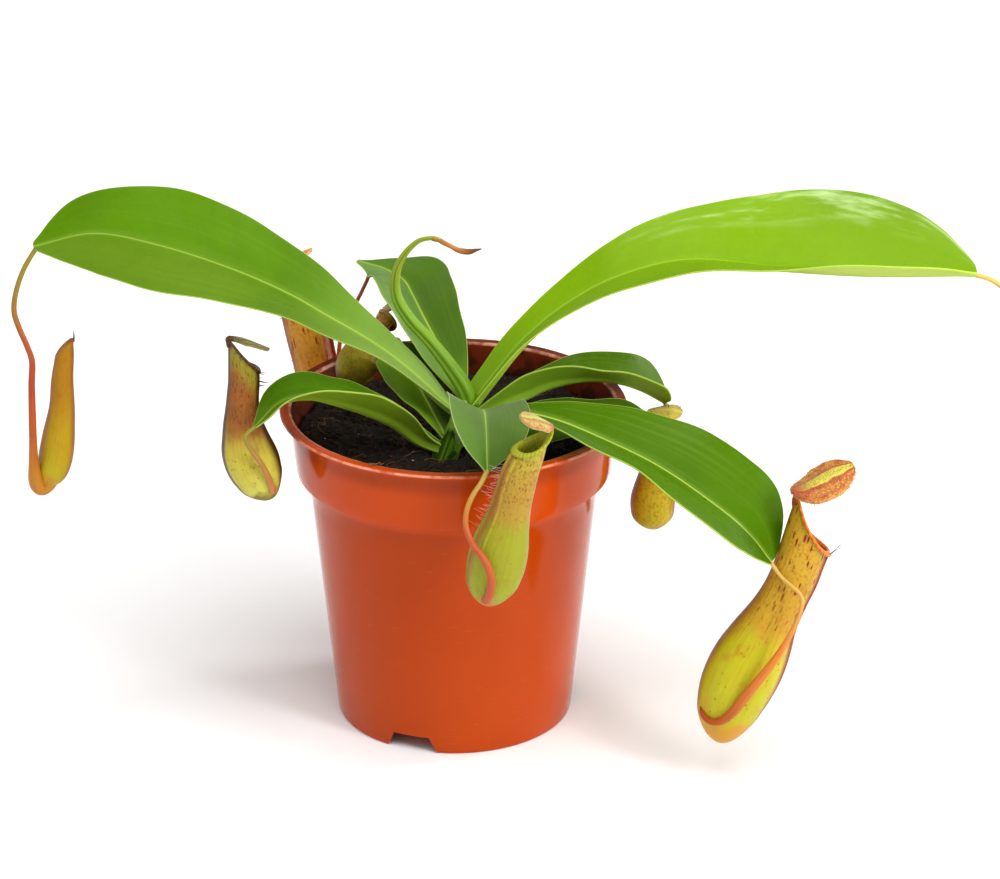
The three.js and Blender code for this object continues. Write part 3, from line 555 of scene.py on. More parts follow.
@dataclass
class Bristles:
    """Many thin tapered hairs in one piece."""

    sides: int = 3
    corners: list[Vector] = field(default_factory=list)
    faces: list[tuple[int, ...]] = field(default_factory=list)
    heights: list[float] = field(default_factory=list)

    def add(self, path: Sequence[Vector], thickness: float, blunt: float = 0.15) -> None:
        """Adds one hair.

        Args:
            path: Its points from root to tip, in metres.
            thickness: Its radius at the root, in metres.
            blunt: Its radius at the tip, as a share of that at the root.
        """
        frames = tube_frames(path)
        first = len(self.corners)
        last = len(path) - 1
        for i, (point, (side, other)) in enumerate(zip(path, frames)):
            radius = thickness * mix(1, blunt, i / last)
            for k in range(self.sides):
                turn = 2 * math.pi * k / self.sides
                self.corners.append(point + (side * math.cos(turn) + other * math.sin(turn)) * radius)
                self.heights.append(i / last)
        for i in range(last):
            for k in range(self.sides):
                a = first + i * self.sides + k
                b = first + i * self.sides + (k + 1) % self.sides
                self.faces.append((a, b, b + self.sides, a + self.sides))
        self.faces.append(tuple(reversed(range(first, first + self.sides))))
        end = first + last * self.sides
        self.faces.append(tuple(range(end, end + self.sides)))

    def build(self, name: str) -> bpy.types.Object:
        """Returns the hairs as one piece that keeps each corner's height on its hair."""
        piece = loose_mesh(name, self.corners, self.faces)
        store(piece, "height", self.heights)
        return piece


# Finishes


def paint(colour: Colour) -> tuple[float, float, float, float]:
    """Returns a colour given in screen numbers, 0 to 255, as light."""

    def light(value: float) -> float:
        """Returns one channel as light."""
        share = value / 255
        return share / 12.92 if share <= 0.04045 else ((share + 0.055) / 1.055) ** 2.4

    return (light(colour[0]), light(colour[1]), light(colour[2]), 1.0)


class Recipe:
    """A material's nodes, added one by one."""

    def __init__(self, name: str) -> None:
        """Starts a material with one surface."""
        self.material = bpy.data.materials.new(name)
        self.material.use_nodes = True
        self.tree = self.material.node_tree
        self.tree.nodes.clear()
        self.output = self.tree.nodes.new("ShaderNodeOutputMaterial")
        self.surface = self.tree.nodes.new("ShaderNodeBsdfPrincipled")
        self.tree.links.new(self.surface.outputs[0], self.output.inputs["Surface"])
        self._places: bpy.types.NodeSocket | None = None

    def put(self, socket: bpy.types.NodeSocket, value: object) -> None:
        """Sets a socket to a constant, or joins another socket to it."""
        if isinstance(value, bpy.types.NodeSocket):
            self.tree.links.new(value, socket)
        else:
            socket.default_value = value

    def set(self, **values: object) -> None:
        """Sets the surface's sockets, named with _ for each blank."""
        for name, value in values.items():
            self.put(self.surface.inputs[name.replace("_", " ")], value)

    def places(self) -> bpy.types.NodeSocket:
        """Returns the object's own coordinates."""
        if self._places is None:
            self._places = self.tree.nodes.new("ShaderNodeTexCoord").outputs["Object"]
        return self._places

    def number(self, name: str) -> bpy.types.NodeSocket:
        """Returns a number that the piece keeps for each corner."""
        node = self.tree.nodes.new("ShaderNodeAttribute")
        node.attribute_name = name
        return node.outputs["Fac"]

    def stretched(self, x: float, y: float, z: float) -> bpy.types.NodeSocket:
        """Returns the object's coordinates, each scaled by its own number."""
        node = self.tree.nodes.new("ShaderNodeMapping")
        self.put(node.inputs["Vector"], self.places())
        node.inputs["Scale"].default_value = (x, y, z)
        return node.outputs["Vector"]

    def pair(self, x: object, y: object, z: object = 0.0) -> bpy.types.NodeSocket:
        """Returns a place made of three numbers."""
        node = self.tree.nodes.new("ShaderNodeCombineXYZ")
        for socket, value in zip(node.inputs, (x, y, z)):
            self.put(socket, value)
        return node.outputs[0]

    def noise(self, scale: float, detail: float = 3, rough: float = 0.55,
              at: bpy.types.NodeSocket | None = None) -> bpy.types.NodeSocket:
        """Returns an even noise round 0.5."""
        node = self.tree.nodes.new("ShaderNodeTexNoise")
        self.put(node.inputs["Vector"], at or self.places())
        node.inputs["Scale"].default_value = scale
        node.inputs["Detail"].default_value = detail
        node.inputs["Roughness"].default_value = rough
        return node.outputs["Fac"]

    def cells(self, scale: float, at: bpy.types.NodeSocket | None = None) -> bpy.types.NodeSocket:
        """Returns the distance to the nearest of many scattered dots."""
        node = self.tree.nodes.new("ShaderNodeTexVoronoi")
        self.put(node.inputs["Vector"], at or self.places())
        node.inputs["Scale"].default_value = scale
        return node.outputs["Distance"]

    def sum(self, kind: str, first: object, second: object = 0.0,
            third: object = 0.0) -> bpy.types.NodeSocket:
        """Returns a sum of the kind that its name says, such as MULTIPLY."""
        node = self.tree.nodes.new("ShaderNodeMath")
        node.operation = kind
        for socket, value in zip(node.inputs, (first, second, third)):
            self.put(socket, value)
        return node.outputs[0]

    def times(self, first: object, second: object) -> bpy.types.NodeSocket:
        """Returns the product of two numbers."""
        return self.sum("MULTIPLY", first, second)

    def gap(self, first: object, second: object) -> bpy.types.NodeSocket:
        """Returns how far two numbers are apart."""
        return self.sum("ABSOLUTE", self.sum("SUBTRACT", first, second))

    def drawn(self, x: object, along_x: float, y: object, along_y: float, detail: float,
              rough: float) -> bpy.types.NodeSocket:
        """Returns noise over two numbers of the piece, each scaled, such as lengthwise lines."""
        place = self.pair(self.times(x, along_x), self.times(y, along_y))
        return self.noise(1, detail, rough, place)

    def mask(self, value: object, low: float, high: float, start: float = 0.0,
             end: float = 1.0) -> bpy.types.NodeSocket:
        """Returns start at low and end at high, with a smooth change between them."""
        node = self.tree.nodes.new("ShaderNodeMapRange")
        node.interpolation_type = "SMOOTHSTEP"
        for name, given in (("Value", value), ("From Min", low), ("From Max", high),
                            ("To Min", start), ("To Max", end)):
            self.put(node.inputs[name], given)
        return node.outputs[0]

    def blend(self, share: object, first: object, second: object) -> bpy.types.NodeSocket:
        """Returns the colour that lies that share of the way from first to second."""
        node = self.tree.nodes.new("ShaderNodeMix")
        node.data_type = "RGBA"
        self.put(node.inputs["Factor"], share)
        for socket, given in zip(node.inputs[6:8], (first, second)):
            self.put(socket, paint(given) if isinstance(given, tuple) else given)
        return node.outputs[2]

    def bump(self, height: object, depth: float, strength: float = 1.0,
             under: bpy.types.NodeSocket | None = None) -> bpy.types.NodeSocket:
        """Returns normals for a relief of that depth in metres."""
        node = self.tree.nodes.new("ShaderNodeBump")
        node.inputs["Strength"].default_value = strength
        node.inputs["Distance"].default_value = depth
        self.put(node.inputs["Height"], height)
        if under is not None:
            self.put(node.inputs["Normal"], under)
        return node.outputs[0]


@dataclass(frozen=True)
class LeafFinish:
    """A living leaf: a green for each half with painted light and shade, a pale midrib and margin, a
    paler lower face, painted highlights.
    """

    name: str
    left: Colour
    right: Colour
    deep: Colour
    under: Colour
    rib: Colour = (164, 196, 66)
    rim: Colour = (196, 214, 110)
    base: Colour = (116, 152, 34)
    base_reach: float = 0.22
    gloss: float = 0.3
    painted_highlight: float = 0.0
    line: float = 0.75

    def make(self) -> bpy.types.Material:
        """Returns the material. It reads how far each corner is from midrib and margin."""
        r = Recipe(self.name)
        reach, edge = r.number("reach"), r.number("edge")
        along, lower, side = r.number("along"), r.number("lower"), r.number("side")
        cloud = r.noise(26, 2)
        fine = r.noise(420, 4)
        # The two halves' greens also paint the light that falls on one half and the shade on the
        # other.
        halves_with_light = r.blend(r.mask(side, -0.1, 0.1), self.right, self.left)
        green = r.blend(r.mask(cloud, 0.42, 0.72, 0, 0.55), halves_with_light, self.deep)
        slant = r.sum("MULTIPLY_ADD", r.sum("ABSOLUTE", side), -0.06, along)
        cross = r.drawn(side, 1.5, slant, 34.0, 2, 0.5)
        length = r.drawn(side, 9.0, along, 1.2, 1, 0.5)
        green = r.blend(r.mask(cross, 0.5, 0.7, 0, 0.1), green, self.deep)
        green = r.blend(r.mask(length, 0.5, 0.7, 0, 0.05), green, self.rib)
        green = r.blend(r.mask(fine, 0.5, 0.8, 0, 0.14), green, self.deep)
        back = r.blend(r.mask(cloud, 0.35, 0.75, 0, 0.3), self.under, halves_with_light)
        colour = r.blend(lower, green, back)
        colour = r.blend(r.mask(along, 0.0, self.base_reach, 0.8, 0), colour, self.base)
        width = r.mask(along, 0.0, 1.0, 1.0, 0.4)
        near = r.sum("DIVIDE", reach, width)
        colour = r.blend(r.mask(near, 0.35, 3.2, 0.16, 0), colour, self.rib)
        colour = r.blend(r.mask(near, 0.2, 0.7, self.line, 0), colour, self.rib)
        colour = r.blend(r.mask(edge, 0.05, 0.3, 0.45, 0), colour, self.rim)
        # Painted highlight: pale spots on one half of the upper face that stand for the glossy
        # reflection of the light.
        if self.painted_highlight:
            highlight_patch = r.drawn(side, 6.0, along, 7.0, 4, 0.6)
            where = r.times(r.mask(side, 0.45, 0.9), r.mask(along, 0.36, 0.5))
            highlight_patch = r.times(r.mask(highlight_patch, 0.47, 0.75, 0.02, self.painted_highlight), where)
            colour = r.blend(r.times(highlight_patch, r.mask(lower, 0, 1, 1, 0)), colour, (214, 236, 170))
        veins = r.sum("SINE", r.times(side, 30.0))
        relief = r.bump(veins, 0.000005)
        relief = r.bump(cross, 0.00015, under=relief)
        relief = r.bump(fine, 0.00008, under=relief)
        rough = r.mask(r.noise(90, 4), 0.3, 0.75, self.gloss - 0.06, self.gloss + 0.12)
        r.set(Base_Color=colour, Normal=relief, Specular_IOR_Level=r.mask(lower, 0, 1, 0.13, 0.06),
              Specular_Tint=(0.85, 1.0, 0.5, 1), Roughness=r.mask(lower, 0, 1, rough, 0.7),
              Subsurface_Weight=0.08, Subsurface_Radius=(0.5, 1.0, 0.1), Subsurface_Scale=0.0015)
        return r.material


@dataclass(frozen=True)
class StalkFinish:
    """A tendril or stalk whose colour changes on its way, with fine lengthwise lines, and painted
    shade along a groove where it has one.
    """

    name: str
    start: Colour
    middle: Colour
    end: Colour
    rough: float = 0.42
    fleck: Colour = (120, 50, 25)

    def make(self) -> bpy.types.Material:
        """Returns the material. It reads how far along each corner is."""
        r = Recipe(self.name)
        along, turn = r.number("along"), r.number("turn")
        wander = r.sum("ADD", along, r.times(r.sum("SUBTRACT", r.noise(70), 0.5), 0.25))
        colour = r.blend(r.mask(wander, 0.05, 0.5), self.start, self.middle)
        colour = r.blend(r.mask(wander, 0.5, 0.98), colour, self.end)
        lines = r.drawn(turn, 5.0, along, 6.0, 3, 0.6)
        colour = r.blend(r.mask(lines, 0.5, 0.75, 0, 0.4), colour, self.fleck)
        # Painted shade: the groove, where a rolled leaf's free edge winds round, is darkened.
        colour = r.blend(r.mask(r.number("fold"), 0.3, 0.9, 0, 0.75), colour, self.fleck)
        r.set(Base_Color=colour, Roughness=self.rough, Specular_IOR_Level=0.25,
              Normal=r.bump(lines, 0.0002), Subsurface_Weight=0.1,
              Subsurface_Radius=(1.0, 0.6, 0.2), Subsurface_Scale=0.002)
        return r.material


@dataclass(frozen=True)
class PitcherFinish:
    """A pitcher's skin: pale sides, warmer front and back lines that paint shade where the skin turns
    away from the camera, flecks, a lip, a lining.
    """

    name: str
    low: Colour
    mid: Colour
    high: Colour
    line: Colour
    fleck: Colour
    lip: Colour
    lip_line: Colour
    inside: Colour = (150, 160, 60)
    foot: Colour = (206, 120, 50)
    fleck_amount: float = 0.6
    edge_shade_width: float = 0.14
    foot_reach: float = 0.11
    dash: float = 24.0
    grain: float = 0.12
    grain_from: float = 0.35
    collar: Colour | None = None
    streaks: tuple[tuple[float, float], ...] = ()
    streak: Colour = (120, 64, 16)
    turning: tuple[float, float] = (0.4, 0.8)

    def make(self) -> bpy.types.Material:
        """Returns the material. It reads height, turn from the front, and the zone."""
        r = Recipe(self.name)
        height, turn, zone = r.number("height"), r.number("turn"), r.number("zone")
        cloud = r.sum("SUBTRACT", r.noise(85, 3), 0.5)
        wander = r.sum("MULTIPLY_ADD", cloud, 0.3, height)
        colour = r.blend(r.mask(wander, 0.0, 0.4), self.low, self.mid)
        colour = r.blend(r.mask(wander, *self.turning), colour, self.high)
        if self.collar:
            colour = r.blend(r.mask(wander, 0.76, 0.97), colour, self.collar)
        mottle = r.noise(170, 4, 0.6)
        colour = r.blend(r.mask(mottle, 0.5, 0.75, 0, 0.3), colour, self.line)
        # Painted shade: the pitcher's front and back, which are its edges as the camera sees them,
        # turn toward the line colour.
        aside = r.sum("MULTIPLY_ADD", cloud, 0.12, r.gap(turn, 0.5))
        if self.edge_shade_width:
            edge_shade = r.mask(aside, 0.5 - self.edge_shade_width, 0.48, 0, 0.85)
            colour = r.blend(edge_shade, colour, self.line)
        for middle, half in self.streaks:
            off = r.gap(r.number("round"), middle / 360)
            off = r.sum("MINIMUM", off, r.sum("SUBTRACT", 1.0, off))
            off = r.sum("MULTIPLY_ADD", cloud, half / 900, off)
            colour = r.blend(r.mask(off, half / 1200, half / 360, 1, 0), colour, self.streak)
        lines = r.drawn(turn, 26.0, height, 2.5, 2, 0.6)
        colour = r.blend(r.mask(lines, 0.48, 0.72, 0, 0.22), colour, self.line)
        footed = r.mask(wander, self.foot_reach * 0.4, self.foot_reach, 0.8, 0)
        colour = r.blend(footed, colour, self.foot)
        dashes = r.cells(1, r.pair(r.times(turn, 21.0), r.times(height, self.dash), cloud))
        region = r.mask(wander, 0.35, 0.85)
        grains = r.times(r.mask(r.noise(900, 3), 0.5, 0.62, 0, self.grain),
                         r.mask(wander, self.grain_from, self.grain_from + 0.5))
        colour = r.blend(grains, colour, self.fleck)
        some = r.mask(r.drawn(turn, 8.0, height, 10.0, 2, 0.5), 0.43, 0.52)
        marks = r.times(r.mask(dashes, 0.24, 0.38, 1, 0), r.times(some, region))
        colour = r.blend(r.times(marks, self.fleck_amount), colour, self.fleck)
        specks = r.mask(r.cells(430), 0.08, 0.22, 1, 0)
        sparse = r.mask(r.noise(110), 0.47, 0.62)
        specks = r.times(r.times(specks, sparse), 0.8 * self.fleck_amount)
        colour = r.blend(specks, colour, self.fleck)
        colour = r.blend(r.mask(r.number("wing"), 0.2, 0.9, 0, 0.6), colour, self.line)
        ribs = r.sum("SINE", r.times(turn, 90.0))
        lip = r.blend(r.mask(ribs, -0.2, 1.0, 0, 0.6), self.lip, self.lip_line)
        stains = r.mask(r.noise(260), 0.5, 0.7, 0, 0.35)
        lining = r.blend(stains, self.inside, self.fleck)
        colour = r.blend(r.mask(zone, 0.4, 0.6), colour, lip)
        colour = r.blend(r.mask(zone, 1.4, 1.6), colour, lining)
        relief = r.bump(lines, 0.0003)
        relief = r.bump(mottle, 0.0004, under=relief)
        relief = r.bump(r.noise(620, 3), 0.0001, under=relief)
        relief = r.bump(marks, 0.0001, under=relief)
        on_lip = r.times(ribs, r.mask(zone, 0.4, 0.6))
        relief = r.bump(on_lip, 0.00008, under=relief)
        r.set(Base_Color=colour, Normal=relief, Specular_IOR_Level=0.18,
              Roughness=r.mask(zone, 0.4, 0.6, 0.4, 0.25), Subsurface_Weight=0.15,
              Subsurface_Radius=(1.0, 0.6, 0.1), Subsurface_Scale=0.003)
        return r.material


@dataclass(frozen=True)
class LidFinish:
    """A lid: a pale middle ridge, a warmer body and rim, red branching lines, a rough face."""

    name: str
    ridge: Colour
    body: Colour
    rim: Colour
    vein: Colour
    under: Colour
    vein_amount: float = 0.5
    grain: float = 0.3
    crest: float = 0.13

    def make(self) -> bpy.types.Material:
        """Returns the material. It reads the same numbers as a leaf's."""
        r = Recipe(self.name)
        reach, edge, side = r.number("reach"), r.number("edge"), r.number("side")
        along, lower = r.number("along"), r.number("lower")
        colour = r.blend(r.mask(edge, 0.2, 1.6), self.rim, self.body)
        fan = r.drawn(side, 5.0, along, 9.0, 3, 0.6)
        net = r.times(r.mask(fan, 0.5, 0.62), r.mask(reach, 0.6, 1.8))
        colour = r.blend(r.times(net, self.vein_amount), colour, self.vein)
        beads = r.cells(1150)
        colour = r.blend(r.mask(beads, 0.25, 0.6, 0, self.grain), colour, self.vein)
        across = r.sum("MULTIPLY_ADD", r.sum("SUBTRACT", fan, 0.5), 0.3, r.sum("ABSOLUTE", side))
        across = r.sum("SUBTRACT", across, self.crest)
        colour = r.blend(r.mask(across, 0.07, 0.34, self.vein_amount, 0), colour, self.vein)
        crest = r.mask(across, 0.0, 0.11, 0.95, 0)
        colour = r.blend(r.times(crest, r.mask(along, 0.0, 0.45, 0.4, 1)), colour, self.ridge)
        colour = r.blend(r.mask(along, 0.03, 0.3, self.vein_amount, 0), colour, self.vein)
        back = r.blend(r.mask(fan, 0.45, 0.65, 0, 0.4), self.under, self.vein)
        colour = r.blend(lower, colour, back)
        relief = r.bump(fan, 0.0004)
        relief = r.bump(beads, 0.0005, self.grain, relief)
        r.set(Base_Color=colour, Normal=relief, Roughness=0.55, Sheen_Weight=0.2,
              Subsurface_Weight=0.12, Subsurface_Radius=(1.0, 0.6, 0.2), Subsurface_Scale=0.002)
        return r.material


@dataclass(frozen=True)
class PotFinish:
    """Thin glossy nursery plastic with faint turning lines, pale scuffs, lip edges pale from wear and
    a painted highlight, and a dirt-stained inside with painted shade.
    """

    name: str = "orange_plastic"
    inner_low: float = 52.9
    inner_high: float = 55.8
    body: Colour = (173, 58, 5)
    pale: Colour = (183, 67, 8)
    upper: Colour = (204, 72, 14)
    # The inside's colours, which hold both dirt and painted shade.
    soiled_and_shaded: Colour = (86, 27, 11)
    dark: Colour = (28, 15, 9)
    worn_and_highlight: Colour = (236, 170, 140)

    def make(self) -> bpy.types.Material:
        """Returns the material."""
        r = Recipe(self.name)
        cloud = r.noise(12, 3)
        colour = r.blend(r.mask(cloud, 0.35, 0.7, 0, 0.6), self.body, self.pale)
        scuffs = r.noise(1, 4, 0.7, r.stretched(160, 160, 1100))
        colour = r.blend(r.mask(scuffs, 0.62, 0.74, 0, 0.1), colour, (226, 150, 110))
        inside, z, rubbed_and_highlit = self.dirt_and_shade_share(r)
        colour = r.blend(r.mask(z, 0.0865, 0.0885, 0, 0.6), colour, self.upper)
        # Dirt and painted shade: the inside turns from the stained colour to a near black deeper down
        # into the pot.
        grime_and_depth_shade = r.sum("MULTIPLY_ADD", r.sum("SUBTRACT", z, 0.1), -6.0, r.noise(75, 5, 0.7))
        dirt_and_shade = r.blend(r.mask(grime_and_depth_shade, 0.4, 0.5), self.soiled_and_shaded, self.dark)
        colour = r.blend(inside, colour, dirt_and_shade)
        # Paints the pale lip edges, partly wear and partly a painted highlight.
        colour = r.blend(rubbed_and_highlit, colour, self.worn_and_highlight)
        lines = r.noise(1, 2, 0.5, r.stretched(6, 6, 1600))
        relief = r.bump(lines, 0.00002)
        relief = r.bump(r.noise(26, 2), 0.0006, 0.5, relief)
        smooth = r.mask(r.noise(60, 5, 0.7), 0.35, 0.75, 0.1, 0.17)
        r.set(Base_Color=colour, Normal=relief, Specular_IOR_Level=0.2,
              Specular_Tint=(1.0, 0.82, 0.6, 1), Roughness=r.mask(inside, 0, 1, smooth, 0.55),
              Subsurface_Weight=0.05, Subsurface_Radius=(1.0, 0.3, 0.1), Subsurface_Scale=0.002)
        return r.material

    def dirt_and_shade_share(self, r: Recipe) -> tuple[bpy.types.NodeSocket, ...]:
        """Returns how much dirt and painted shade a place takes, its height, and how much wear and
        painted highlight the lip's edges take.
        """
        parts = r.tree.nodes.new("ShaderNodeSeparateXYZ")
        r.put(parts.inputs[0], r.places())
        x, y, z = parts.outputs
        # Dirt and painted shade together: the back half of the lip's top is darkened much more than
        # the front.
        behind = r.mask(y, -0.02, 0.035, 0.18, 0.9)
        radius = r.sum("SQRT", r.sum("MULTIPLY_ADD", x, x, r.times(y, y)))
        limit = r.mask(z, 0.086, 0.114, self.inner_low * MM, self.inner_high * MM)
        over = r.sum("SUBTRACT", radius, limit)
        wall = r.times(r.mask(over, 0.0003, 0.0007, 1, 0), r.mask(z, 0.0915, 0.092))
        wall = r.times(wall, r.mask(z, 0.1, 0.1135, 1, 0.85))
        top = r.times(r.mask(z, 0.1133, 0.1139), behind)
        # Wear and a painted highlight: pale lines along the lip's top outer and inner edges, broken by
        # noise.
        off = r.gap(radius, 0.0562)
        edges = r.sum("MAXIMUM", r.mask(radius, 0.0595, 0.0598), r.mask(off, 0.0003, 0.001, 1, 0))
        rubbed_and_highlit = r.times(edges, r.mask(z, 0.1129, 0.1133))
        rubbed_and_highlit = r.times(rubbed_and_highlit, r.mask(r.noise(140, 4, 0.7), 0.35, 0.65, 0.1, 0.75))
        return r.sum("MAXIMUM", wall, top), z, rubbed_and_highlit


@dataclass(frozen=True)
class EarthFinish:
    """Moist peat: nearly black, with brown crumbs."""

    name: str
    dark: Colour
    light: Colour
    rough: float = 0.92

    def make(self) -> bpy.types.Material:
        """Returns the material."""
        r = Recipe(self.name)
        crumbs = r.noise(420, 6, 0.7)
        colour = r.blend(r.mask(crumbs, 0.42, 0.72), self.dark, self.light)
        colour = r.blend(r.mask(r.noise(60, 3), 0.4, 0.65, 0, 0.6), colour, self.dark)
        r.set(Base_Color=colour, Roughness=self.rough, Specular_IOR_Level=0.25,
              Normal=r.bump(crumbs, 0.0012))
        return r.material


@dataclass(frozen=True)
class HairFinish:
    """Fine hairs that change colour from root to tip."""

    name: str
    root: Colour
    tip: Colour

    def make(self) -> bpy.types.Material:
        """Returns the material."""
        r = Recipe(self.name)
        colour = r.blend(r.number("height"), self.root, self.tip)
        r.set(Base_Color=colour, Roughness=0.55, Specular_IOR_Level=0.3)
        return r.material


# The shapes of the plant's pieces


@dataclass
class BladeShape:
    """A closed leaf blade: a grooved upper face, a ribbed lower face, and round margins.

    A wave is its turns along the blade, its share of the height, and its lead across.
    """

    CROWDING = 1.15
    END_ROUNDING = 0.006
    MARGIN_ROUNDING = 0.35
    GROOVE_WIDTH = 0.7
    WAVES = ((17, 1, 0), (31, 0.6, 2), (11, 0.5, -3))

    spec: BladeSpec
    margin: float = 0.6
    rows: int = 96
    columns: int = 72
    wave: float = 0.35
    seed: int = 1
    groove: float = 0.28
    rib_width: float = 1.1
    keels: float = 0.0

    def section(self) -> list[tuple[float, bool]]:
        """Returns the places round the blade: the share across, and if it is the lower face."""
        half = self.columns // 2
        places = []
        for lower in (False, True):
            for k in range(half):
                turned = math.cos(math.pi * k / half)
                share = math.copysign(abs(turned) ** self.CROWDING, turned)
                places.append((-share if lower else share, lower))
        return places + places[:1]

    def build(self, name: str) -> bpy.types.Object:
        """Returns the blade as one piece, with its distances kept for the finish."""
        blade, spec, section = Blade(self.spec), self.spec, self.section()
        piece = add_skin(name, self.rows, self.columns)
        drift = random.Random(self.seed)
        phases = [drift.uniform(0, 6.28) for _ in self.WAVES]
        lanes = {}
        for row in range(self.rows + 1):
            u = 0.5 - 0.5 * math.cos(math.pi * row / self.rows)
            u = mix(row / self.rows, u, 0.8)
            lanes[row] = (u, blade.directions(u), blade.half_width(u))
        kept = {key: [] for key in ("along", "reach", "edge", "side", "lower")}

        def place(row: int, column: int) -> Vector:
            """Returns the corner's place, and keeps its distances."""
            u, (centre, side, normal), half_width = lanes[row]
            v, lower = section[column]
            fold = blade.folded(u, v)
            half = side * math.cos(fold) + normal * math.sin(fold)
            out = normal * math.cos(fold) - side * math.sin(fold)
            reach, edge = abs(v) * half_width, (1 - abs(v)) * half_width
            thick = self.margin * (1.4 - 0.4 * abs(v))
            thick *= rounding(edge / self.MARGIN_ROUNDING)
            ridge = math.exp(-((reach / self.rib_width) ** 2))
            thick += max(0.0, station(spec.rib, u) - self.margin * 1.4) * ridge
            thick *= rounding(u / self.END_ROUNDING)
            thick *= rounding((1 - u) / self.END_ROUNDING)
            ripple = sum(share * math.sin(u * turns + phase + lead * v)
                         for (turns, share, lead), phase in zip(self.WAVES, phases))
            lift = self.wave * ripple * abs(v) ** 2.5 * min(1.0, half_width / 12)
            furrow = self.groove * math.exp(-((reach / self.GROOVE_WIDTH) ** 2))
            lift -= furrow * min(1.0, half_width / 5)
            if self.keels:
                lift += self.keels * math.sin(v * 9) ** 2
            sink = thick if lower else 0.0
            for key, value in zip(kept, (u, reach, edge, v, 1.0 if lower else 0.0)):
                kept[key].append(value)
            return centre + half * (v * half_width * MM) + out * ((lift - sink) * MM)

        shape_corners(piece, self.rows, self.columns, place, kept)
        return piece


def shape_corners(piece: bpy.types.Object, columns: int, rows: int,
                  rule: Callable[[int, int], Vector], kept: dict[str, list[float]]) -> None:
    """Moves a grid's corners by a rule, keeps the rule's numbers, and closes the seams.

    Args:
        piece: The grid.
        columns: Its faces along x.
        rows: Its faces along y.
        rule: The place of a corner, from its column and row. It adds to the kept numbers.
        kept: The numbers for each corner, by name.
    """
    for corner in piece.data.vertices:
        column = round((corner.co.x + 1) / 2 * columns)
        row = round((corner.co.y + 1) / 2 * rows)
        corner.co = rule(column, row)
    for name, values in kept.items():
        store(piece, name, values)
    close_seams(piece)


@dataclass
class TubeShape:
    """A closed round stalk with rounded ends."""

    KNOB_SIZE = 400
    KNOB_DRAW = 3
    GROOVE_WIDTH = 0.28

    spec: TubeSpec
    rows: int = 60
    sides: int = 16
    knobs: float = 0.0
    groove: float = 0.0
    groove_turn: float = 0.0
    groove_twist: float = 0.0

    def build(self, name: str) -> bpy.types.Object:
        """Returns the stalk as one piece."""
        curve = SmoothCurve(self.spec.path)
        shares = [0.5 - 0.5 * math.cos(math.pi * i / self.rows) for i in range(self.rows + 1)]
        shares = [mix(i / self.rows, share, 0.6) for i, share in enumerate(shares)]
        points = [curve.point(share) for share in shares]
        frames = tube_frames(points)
        length = curve.length / MM
        piece = add_skin(name, self.sides, self.rows)
        kept = {key: [] for key in ("along", "turn", "fold")}

        def place(column: int, row: int) -> Vector:
            """Returns the corner's place, and keeps its turn."""
            u = shares[row]
            full = radius = station(self.spec.radius, u)
            for end in (u * length, (1 - u) * length):
                radius *= math.sqrt(max(0.0, 1 - (1 - min(1.0, end / full)) ** 2))
            turn = 2 * math.pi * column / self.sides
            bump = noise.noise(points[row] * self.KNOB_SIZE + Vector((turn, self.KNOB_DRAW, 0)))
            radius *= 1 + self.knobs * bump
            off = turn - self.groove_turn - self.groove_twist * u
            off = abs((off + math.pi) % (2 * math.pi) - math.pi)
            fold = math.exp(-((off / self.GROOVE_WIDTH) ** 2)) if self.groove else 0.0
            radius *= 1 - self.groove * fold
            side, other = frames[row]
            for key, value in zip(kept, (u, abs(column / self.sides - 0.5) * 2, fold)):
                kept[key].append(value)
            return points[row] + (side * math.cos(turn) + other * math.sin(turn)) * radius * MM

        shape_corners(piece, self.sides, self.rows, place, kept)
        return piece


class Zone(Enum):
    """The three parts of a pitcher's skin."""

    OUTSIDE = 0.0
    LIP = 1.0
    INSIDE = 2.0


@dataclass(frozen=True)
class HairRow:
    """A row of hairs on a pitcher's skin.

    The turns are in degrees from the front, the heights are shares of the axis, and the
    length and thickness are in millimetres.
    """

    count: int
    turns: tuple[float, float]
    heights: tuple[float, float]
    length: float
    thickness: float
    look: HairFinish
    lean: float = 0.25

    def grow(self, spec: PitcherSpec, bristles: Bristles, seed: int) -> None:
        """Adds the row's hairs.

        Args:
            spec: The pitcher that they grow on.
            bristles: Where they are added.
            seed: The start of the draw.
        """
        draw = random.Random(seed)
        curve = SmoothCurve(spec.axis)
        length = curve.length / MM
        for k in range(self.count):
            share = mix(*self.heights, (k + draw.uniform(0.1, 0.9)) / self.count)
            angle = math.radians(draw.uniform(*self.turns))
            reach = station(spec.radius, share)
            root = pitcher_place(spec, curve, reach, share * length, angle)
            out = pitcher_place(spec, curve, reach + 1, share * length, angle) - root
            aim = out.normalized() + curve.tangent(share) * (self.lean + draw.uniform(-0.2, 0.2))
            aim += Vector([draw.uniform(-0.25, 0.25) for _ in range(3)])
            aim.normalize()
            bend = Vector([draw.uniform(-0.3, 0.3) for _ in range(3)]) + UP * 0.15
            size = self.length * draw.uniform(0.6, 1.1) * MM
            path = [root + aim * (size * t - 0.3 * MM) + bend * size * t * t
                    for t in (0, 0.25, 0.5, 0.75, 1)]
            bristles.add(path, self.thickness * MM, 0.3)


